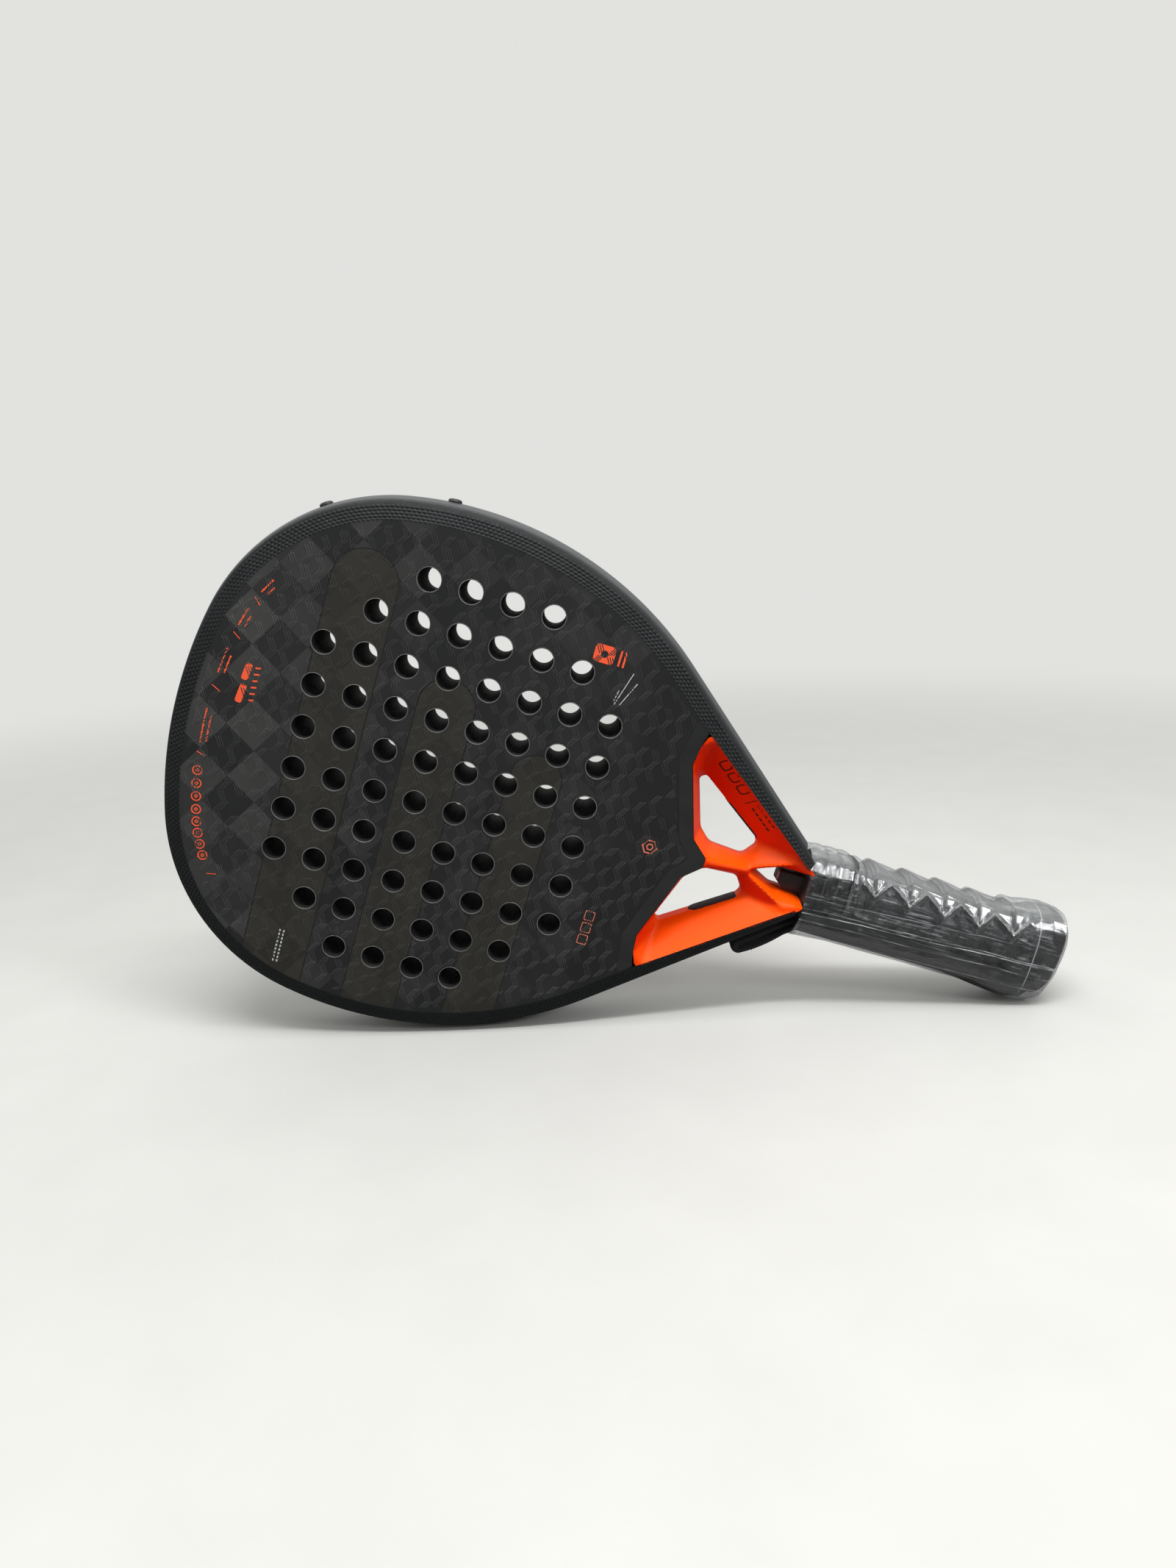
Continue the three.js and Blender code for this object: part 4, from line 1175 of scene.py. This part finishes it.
def film():
    """The clear film round the handle: it follows the ridges, with a sharp zigzag fold on its upper front."""
    xs = np.concatenate([np.arange(FILM[0][0], FILM[-2][0], 0.55), np.linspace(318.6, FILM[-1][0], 7)])
    degrees = [np.arange(*span) for span in ((0, 34, 2.5), (34, 92, 0.5), (92, 359, 1.9))]
    turns = np.radians(np.concatenate(degrees))
    near_grip = smoothstep(209, 214, xs)[:, None] * (1 - smoothstep(294, 303, xs))[:, None]
    upper = smoothstep(-0.16, 0.22, np.cos(turns))[None, :]
    away = from_zigzag(xs, turns)
    in_front = (np.sin(turns) > 0.2)[None, :]
    fold = FOLD_HEIGHT * np.clip(np.minimum(1 + away / 1.7, 1 - away / 1.2), 0, 1) * in_front
    below = -1.3 * smoothstep(0.0, 4.0, away) * in_front * upper
    above = np.where(in_front, smoothstep(0.0, 7.0, -away), 1.0)
    sag = -FILM_SAG * (1 - saw_height(xs))[:, None] * above * upper
    collar_dip = -1.9 * np.exp(-((xs - 208.6) / 1.7) ** 2)[:, None] * upper
    bands = 0.8 * (collar_bands(xs) - 0.6) * (1 - smoothstep(205, 208, xs))
    swell = 0.5 + 0.4 * film_creases(xs, turns) + (fold + below + sag) * near_grip + collar_dip
    swell = swell + bands[:, None] * upper
    rings = section(FILM, xs, turns, swell)
    rings[:, :, 2] = np.clip(rings[:, :, 2], -FILM_LIMIT, FILM_LIMIT)
    rings[0, :, 0] += 0.4 * np.sin(turns * 3 + 0.6) - 0.12 * (rings[0, :, 1] + 3.6)
    end = []
    for grow, shrink in FILM_CLOSING:
        closing = rings[-1] * (1, shrink, shrink)
        closing[:, 0] += grow + 0.5 * np.sin(turns * 7) * shrink
        end.append(closing)
    outer = np.concatenate([rings, end])
    middle = outer.mean(axis=1, keepdims=True)
    inner = outer + (middle - outer) * np.array([0.0, FILM_WALL, FILM_WALL])
    inner[-1, :, 0] -= 0.3
    return add_piece("clear_film_sleeve", *loft(np.concatenate([outer, inner[::-1]]), "loop"), PAINT["film"],
                     slot="clear_film", replaces=["film_sleeve"], sharp=80)


STRAP_DROP = 3.4


def wrist_strap():
    """Ribbed webbing along the lower front of the grip, under the film, that hangs a little at the butt."""
    xs = np.arange(188.5, 312, 1.2)
    angles = np.radians(np.linspace(24, 116, 65))
    ribs = 0.34 * np.abs(np.sin(np.linspace(0, 9 * np.pi, len(angles))))

    def curve(centre, half_y, half_z):
        y = centre - half_y * signed_power(np.sin(angles), SECTION_POWER)
        return np.stack([y, half_z * signed_power(np.cos(angles), SECTION_POWER)], -1)

    profile = np.concatenate([curve(-2.6, 21.3 + ribs, 17.7 + ribs), curve(0.0, 19.4, 15.8)[::-1]])
    share = np.where(profile[:, 0] < -12, 1.0, 0.4)
    drop = STRAP_DROP * smoothstep(262, 302, xs) - 2.0 * smoothstep(304, 312, xs)
    rings = np.empty((len(xs), len(profile), 3))
    rings[:, :, 0] = xs[:, None]
    rings[:, :, 1] = profile[:, 0] - drop[:, None] * share
    rings[:, :, 2] = profile[:, 1]
    add_piece("wrist_strap_webbing", *loft(rings), PAINT["strap"], slot="strap_webbing",
              replaces=["wrist_strap"], sharp=70)


LOOP_LENGTH = 27.0
LOOP_LAYER = 3.3
LOOP_HALF_WIDTH = 8.5
LOOP_SLOT = 0.5
LOOP_CLEARANCE = 0.5
LOOP_FROM_ARM_END = 17.8
LOOP_BEND = (-3.0, 6.0)
THREAD_RADIUS = 0.11


def strap_loop():
    """The strap's free end: one ribbed band that comes out of the film, runs below the arm and folds back."""
    x, y, nx, ny = (float(value) for value in rail_at(LOOP_FROM_ARM_END - RAIL_END))
    out = np.array([-nx, -ny])
    towards_head = np.array([-abs(ny), -abs(nx)])
    start = np.array([x, y]) + out * LOOP_CLEARANCE
    radius = (LOOP_LAYER + LOOP_SLOT) / 2
    near, far = LOOP_LAYER / 2, LOOP_LAYER * 1.5 + LOOP_SLOT
    straight = LOOP_LENGTH - radius - LOOP_LAYER / 2
    path = [(t, near) for t in np.linspace(-7, straight, 40)]
    path += [(straight + radius * math.sin(a), near + radius - radius * math.cos(a))
             for a in np.linspace(0.2, 2.94, 14)]
    path = np.array(path + [(t, far) for t in np.linspace(straight, -8, 40)])
    sag = 1.3 * np.sin(np.pi * np.clip(path[:, 0] / LOOP_LENGTH, 0, 1)) * (path[:, 1] > near + 0.5)
    direction = np.gradient(path, axis=0)
    direction /= np.linalg.norm(direction, axis=1)[:, None]
    across = np.stack([-direction[:, 1], direction[:, 0]], -1)
    turns = full_turn(112)
    wide = LOOP_HALF_WIDTH * signed_power(np.cos(turns), 0.3)
    thick = (LOOP_LAYER / 2 - 0.15) * signed_power(np.sin(turns), 0.75)
    edge = np.abs(wide) > 7.2
    rib = np.where(edge, 0, 0.24 * np.abs(np.sin(wide * 1.7)) - 0.12)
    side_rib = np.where(edge, 0.34 * np.abs(np.sin(thick * 2.9)) - 0.1, 0)
    thick = thick + np.sign(thick) * rib
    wide = wide + np.sign(wide) * side_rib
    rings = []
    for (along, away), normal, drop in zip(path, across, sag):
        flat = start + towards_head * along + out * (away + drop)
        tilt = towards_head * normal[0] + out * normal[1]
        rings.append(np.column_stack([flat + thick[:, None] * tilt, wide]))
    piece = add_piece("strap_loop_webbing", *loft(rings), PAINT["strap"], body=None, slot="strap_webbing",
                      replaces=["strap_loop"], sharp=70)
    bend = [(*(start + towards_head * along + out * 3.5), 0.0) for along in LOOP_BEND]
    swing_start, swing_end = (tuple(place) for place in to_row(bend))
    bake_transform(piece)
    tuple(swing_start)
    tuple(swing_end)
    threads(start + towards_head * (LOOP_LENGTH - 11) + out * 8.0, towards_head, out)


def threads(place, towards_head, out):
    """A few frayed threads at the end of the strap loop."""
    parts = []
    for i in range(5):
        bend = random.uniform(-0.9, 0.9)
        length = random.uniform(0.7, 1.7)
        z = 5.5 + 0.5 * i
        spine = [place - out * 0.8 + towards_head * (0.5 * i - 1 + bend * t * t * 1.5) + out * length * t
                 for t in np.linspace(0, 1, 6)]
        rings = []
        for k, (x, y) in enumerate(spine):
            rings.append([(x + THREAD_RADIUS * math.cos(a), y + THREAD_RADIUS * math.sin(a) * 0.6,
                           z + bend * k * 0.2 + THREAD_RADIUS * math.sin(a)) for a in full_turn(5)])
        parts.append(loft(rings))
    add_piece("strap_frayed_threads", *joined(*parts), PAINT["strap"], body="strap_end", slot="strap_webbing")


def adjuster():
    """The strap's sliding block, with softened edges and a small pale label on its end towards the throat."""
    start, end, half, bottom, top = 173.0, 187.3, 4.2, -4.0, 7.7
    outline = [(end, -half), (end, half), (start, half), (start, -2.0), (start + 3.1, -half)]
    outline = np.array(rounded_outline(outline, 0.8, 4))
    centre = np.array([(start + end) / 2, 0.0])
    rings = []
    for z, shrink in ((bottom, 0.5), (bottom + 0.15, 0.2), (bottom + 0.5, 0.0), (top - 0.6, 0.0),
                      (top - 0.2, 0.2), (top, 0.65)):
        flat = centre + (outline - centre) * (1 - shrink / np.array([7.0, 4.2]))
        rings.append(np.column_stack([flat, np.full(len(flat), z)]))
    add_piece("strap_adjuster_block", *loft(rings), PAINT["plastic"], body="adjuster", slot="black_plastic",
              replaces=["strap_adjuster"], sharp=35)
    label = [[(x, y, z) for y, z in ((-0.9, 3.0), (2.8, 3.0), (2.8, 6.2), (-0.9, 6.2))]
             for x in (start - 0.02, start - 0.14)]
    add_piece("adjuster_label", *loft(label), PAINT["label"], body="adjuster", slot="weight_steel", sharp=30)


def inner_pieces():
    """Carried-over solids that stay hidden inside get their real finish as well."""
    finishes = {
        "handle_tube": ("tube_carbon", (0.012, 0.012, 0.013), (0.03, 0.03, 0.032), 0.4, 1.0, 0.05),
        "handle_foam": ("handle_foam", (0.02, 0.02, 0.02), (0.035, 0.035, 0.035), 0.9, 0.8, 0.4),
        "grip_sleeve": ("sleeve_rubber", (0.01, 0.01, 0.011), (0.02, 0.02, 0.022), 0.75, 1.0, 0.2),
        "strap_plug": ("plug_plastic", (0.012, 0.012, 0.012), (0.02, 0.02, 0.02), 0.5, 1.2, 0.08),
    }
    finishes = {node: grainy(*finish, from_cad=True) for node, finish in finishes.items()}
    carrier = grainy("carrier_plastic", (0.014, 0.014, 0.015), (0.024, 0.024, 0.026), 0.5, 1.2, 0.08, True)
    steel = brushed_steel()
    for place in ("upper", "lower"):
        finishes[f"weight_carrier_{place}"] = carrier
        finishes[f"weight_bar_{place}"] = steel
    for node, material in finishes.items():
        materials = frame["nodes"][node].data.materials
        materials.clear()
        materials.append(material)


# ---- stage, lights and camera ----

BACKDROP_STRENGTH = 0.76
BACKDROP_COLOR = (1.0, 1.0, 0.975, 1.0)
FLOOR_HALF_SIZE = 6.0
FLOOR_FADE = (380, 1500)


def stage():
    """A pale floor that fades into the backdrop. Its bounce onto the racket is held low, as from a table."""
    n = Nodes("pale_floor", from_cad=True)
    x, y, _ = n.split(n.place)
    seen = n.camera_ray()
    color = n.blend(n.noise(0.02, 4), (0.47, 0.47, 0.459), (0.52, 0.52, 0.508))
    color = n.blend(seen, (0.15, 0.15, 0.148), color)
    n.finish(color, 0.6, n.bump(n.noise(0.5, 3), 0.15, 0.3), specular_ior_level=0.2)
    far = n.math("SQRT", n.math("ADD", n.math("MULTIPLY", x, x), n.math("MULTIPLY", y, y)))
    fade = n.math("MULTIPLY", n.ramp(far, *FLOOR_FADE, kind="SMOOTHSTEP"), seen)
    glow = n.new("ShaderNodeEmission")
    glow.inputs["Color"].default_value = BACKDROP_COLOR
    glow.inputs["Strength"].default_value = BACKDROP_STRENGTH
    n.link(n.shader_mix(fade, n.shader.outputs[0], glow.outputs[0]), n.output.inputs[0])
    mesh = bpy.data.meshes.new("floor")
    corners = [(x, y, 0) for x, y in rectangle(0, 0, FLOOR_HALF_SIZE, FLOOR_HALF_SIZE)]
    mesh.from_pydata(corners, [], [(0, 1, 2, 3)])
    mesh.materials.append(n.material)
    floor = bpy.data.objects.new("floor", mesh)
    floor.location.z = -0.0004
    bpy.context.scene.collection.objects.link(floor)


def area_light(name, place, target, width, height, power, color=(1, 1, 1)):
    data = bpy.data.lights.new(name, "AREA")
    data.shape = "RECTANGLE"
    data.size, data.size_y = width, height
    data.energy = power
    data.color = color
    light = bpy.data.objects.new(name, data)
    light.location = place
    light.rotation_euler = (Vector(target) - Vector(place)).to_track_quat("-Z", "Y").to_euler()
    bpy.context.scene.collection.objects.link(light)
    return light


def studio_world():
    """A pale backdrop to the eye; surfaces see a bright ceiling and back wall and a dim room in front."""
    world = bpy.data.worlds.new("studio")
    bpy.context.scene.world = world
    world.use_nodes = True
    n = Tree(world.node_tree)
    _, y, z = n.split(n.new("ShaderNodeTexCoord").outputs["Generated"])
    ceiling = n.ramp(z, 0.0, 0.85, 0.06, 0.7, "SMOOTHSTEP")
    back_wall = n.ramp(y, -0.1, 0.6, 0.0, 0.4, "SMOOTHSTEP")
    room = n.math("ADD", ceiling, back_wall)
    background = n.tree.nodes["Background"]
    background.inputs["Color"].default_value = BACKDROP_COLOR
    n.link(n.ramp(n.camera_ray(), 0, 1, room, BACKDROP_STRENGTH), background.inputs["Strength"])


def lighting():
    """A soft ceiling that leaves no reflections, a tube, a window and a weak side light."""
    studio_world()
    ceiling = area_light("ceiling", (-0.05, -0.35, 1.35), (0.02, 0, 0.12), 1.1, 0.55, 10, (1.0, 0.995, 0.97))
    ceiling.visible_glossy = False
    area_light("tube", (0.12, -0.5, 1.25), (0.1, 0, 0.1), 1.1, 0.1, 11.0)
    area_light("window", (0.95, -0.85, 0.75), (0.15, 0, 0.08), 0.34, 0.2, 5.0)
    area_light("side", (-1.3, -0.7, 0.6), (-0.1, 0, 0.12), 0.6, 0.8, 2.2)


def film_highlights(film):
    """Two panels that light the clear film only, for the bright glints along its folds."""
    receivers = bpy.data.collections.new("film_only")
    receivers.objects.link(film)
    for name, place, side, power in (("glint_panel_left", (0.39, -0.72, 1.0), 0.6, 13.0),
                                     ("glint_panel_right", (1.15, -0.4, 0.54), 0.42, 7.0)):
        panel = area_light(name, place, (0.15, 0, 0.08), side, side, power)
        panel.light_linking.receiver_collection = receivers


CAMERA_PLACE = (27.7, 127.7, 491.2)
CAMERA_AIM = (68.4, 17.6, 0.0)
CAMERA_ROLL = -2.24
CAMERA_LENS = 23.46


def camera():
    """The camera stands in front of the racket, above it and square to the middle of the head."""
    place, aim = (Vector(point) for point in to_row([CAMERA_PLACE, CAMERA_AIM]))
    data = bpy.data.cameras.new("camera")
    data.sensor_width = 36
    data.lens = CAMERA_LENS
    data.clip_start = 0.01
    view = bpy.data.objects.new("camera", data)
    turn = (aim - place).to_track_quat("-Z", "Y").to_matrix().to_4x4()
    view.matrix_world = Matrix.Translation(place) @ turn @ Matrix.Rotation(math.radians(CAMERA_ROLL), 4, "Z")
    bpy.context.scene.collection.objects.link(view)
    bpy.context.scene.camera = view


head_frame()
edge_guard()
head_plates()
hole_rims()
chevron_lines()
throat_border()
face_prints()
throat_shell()
throat_marks()
dampers()
screw_heads()
grip()
collar()
wrist_strap()
strap_loop()
adjuster()
film_piece = film()
inner_pieces()
stage()
lighting()
film_highlights(film_piece)
camera()

bpy.context.scene.view_settings.view_transform = "Standard"
bpy.context.scene.cycles.use_denoising = True
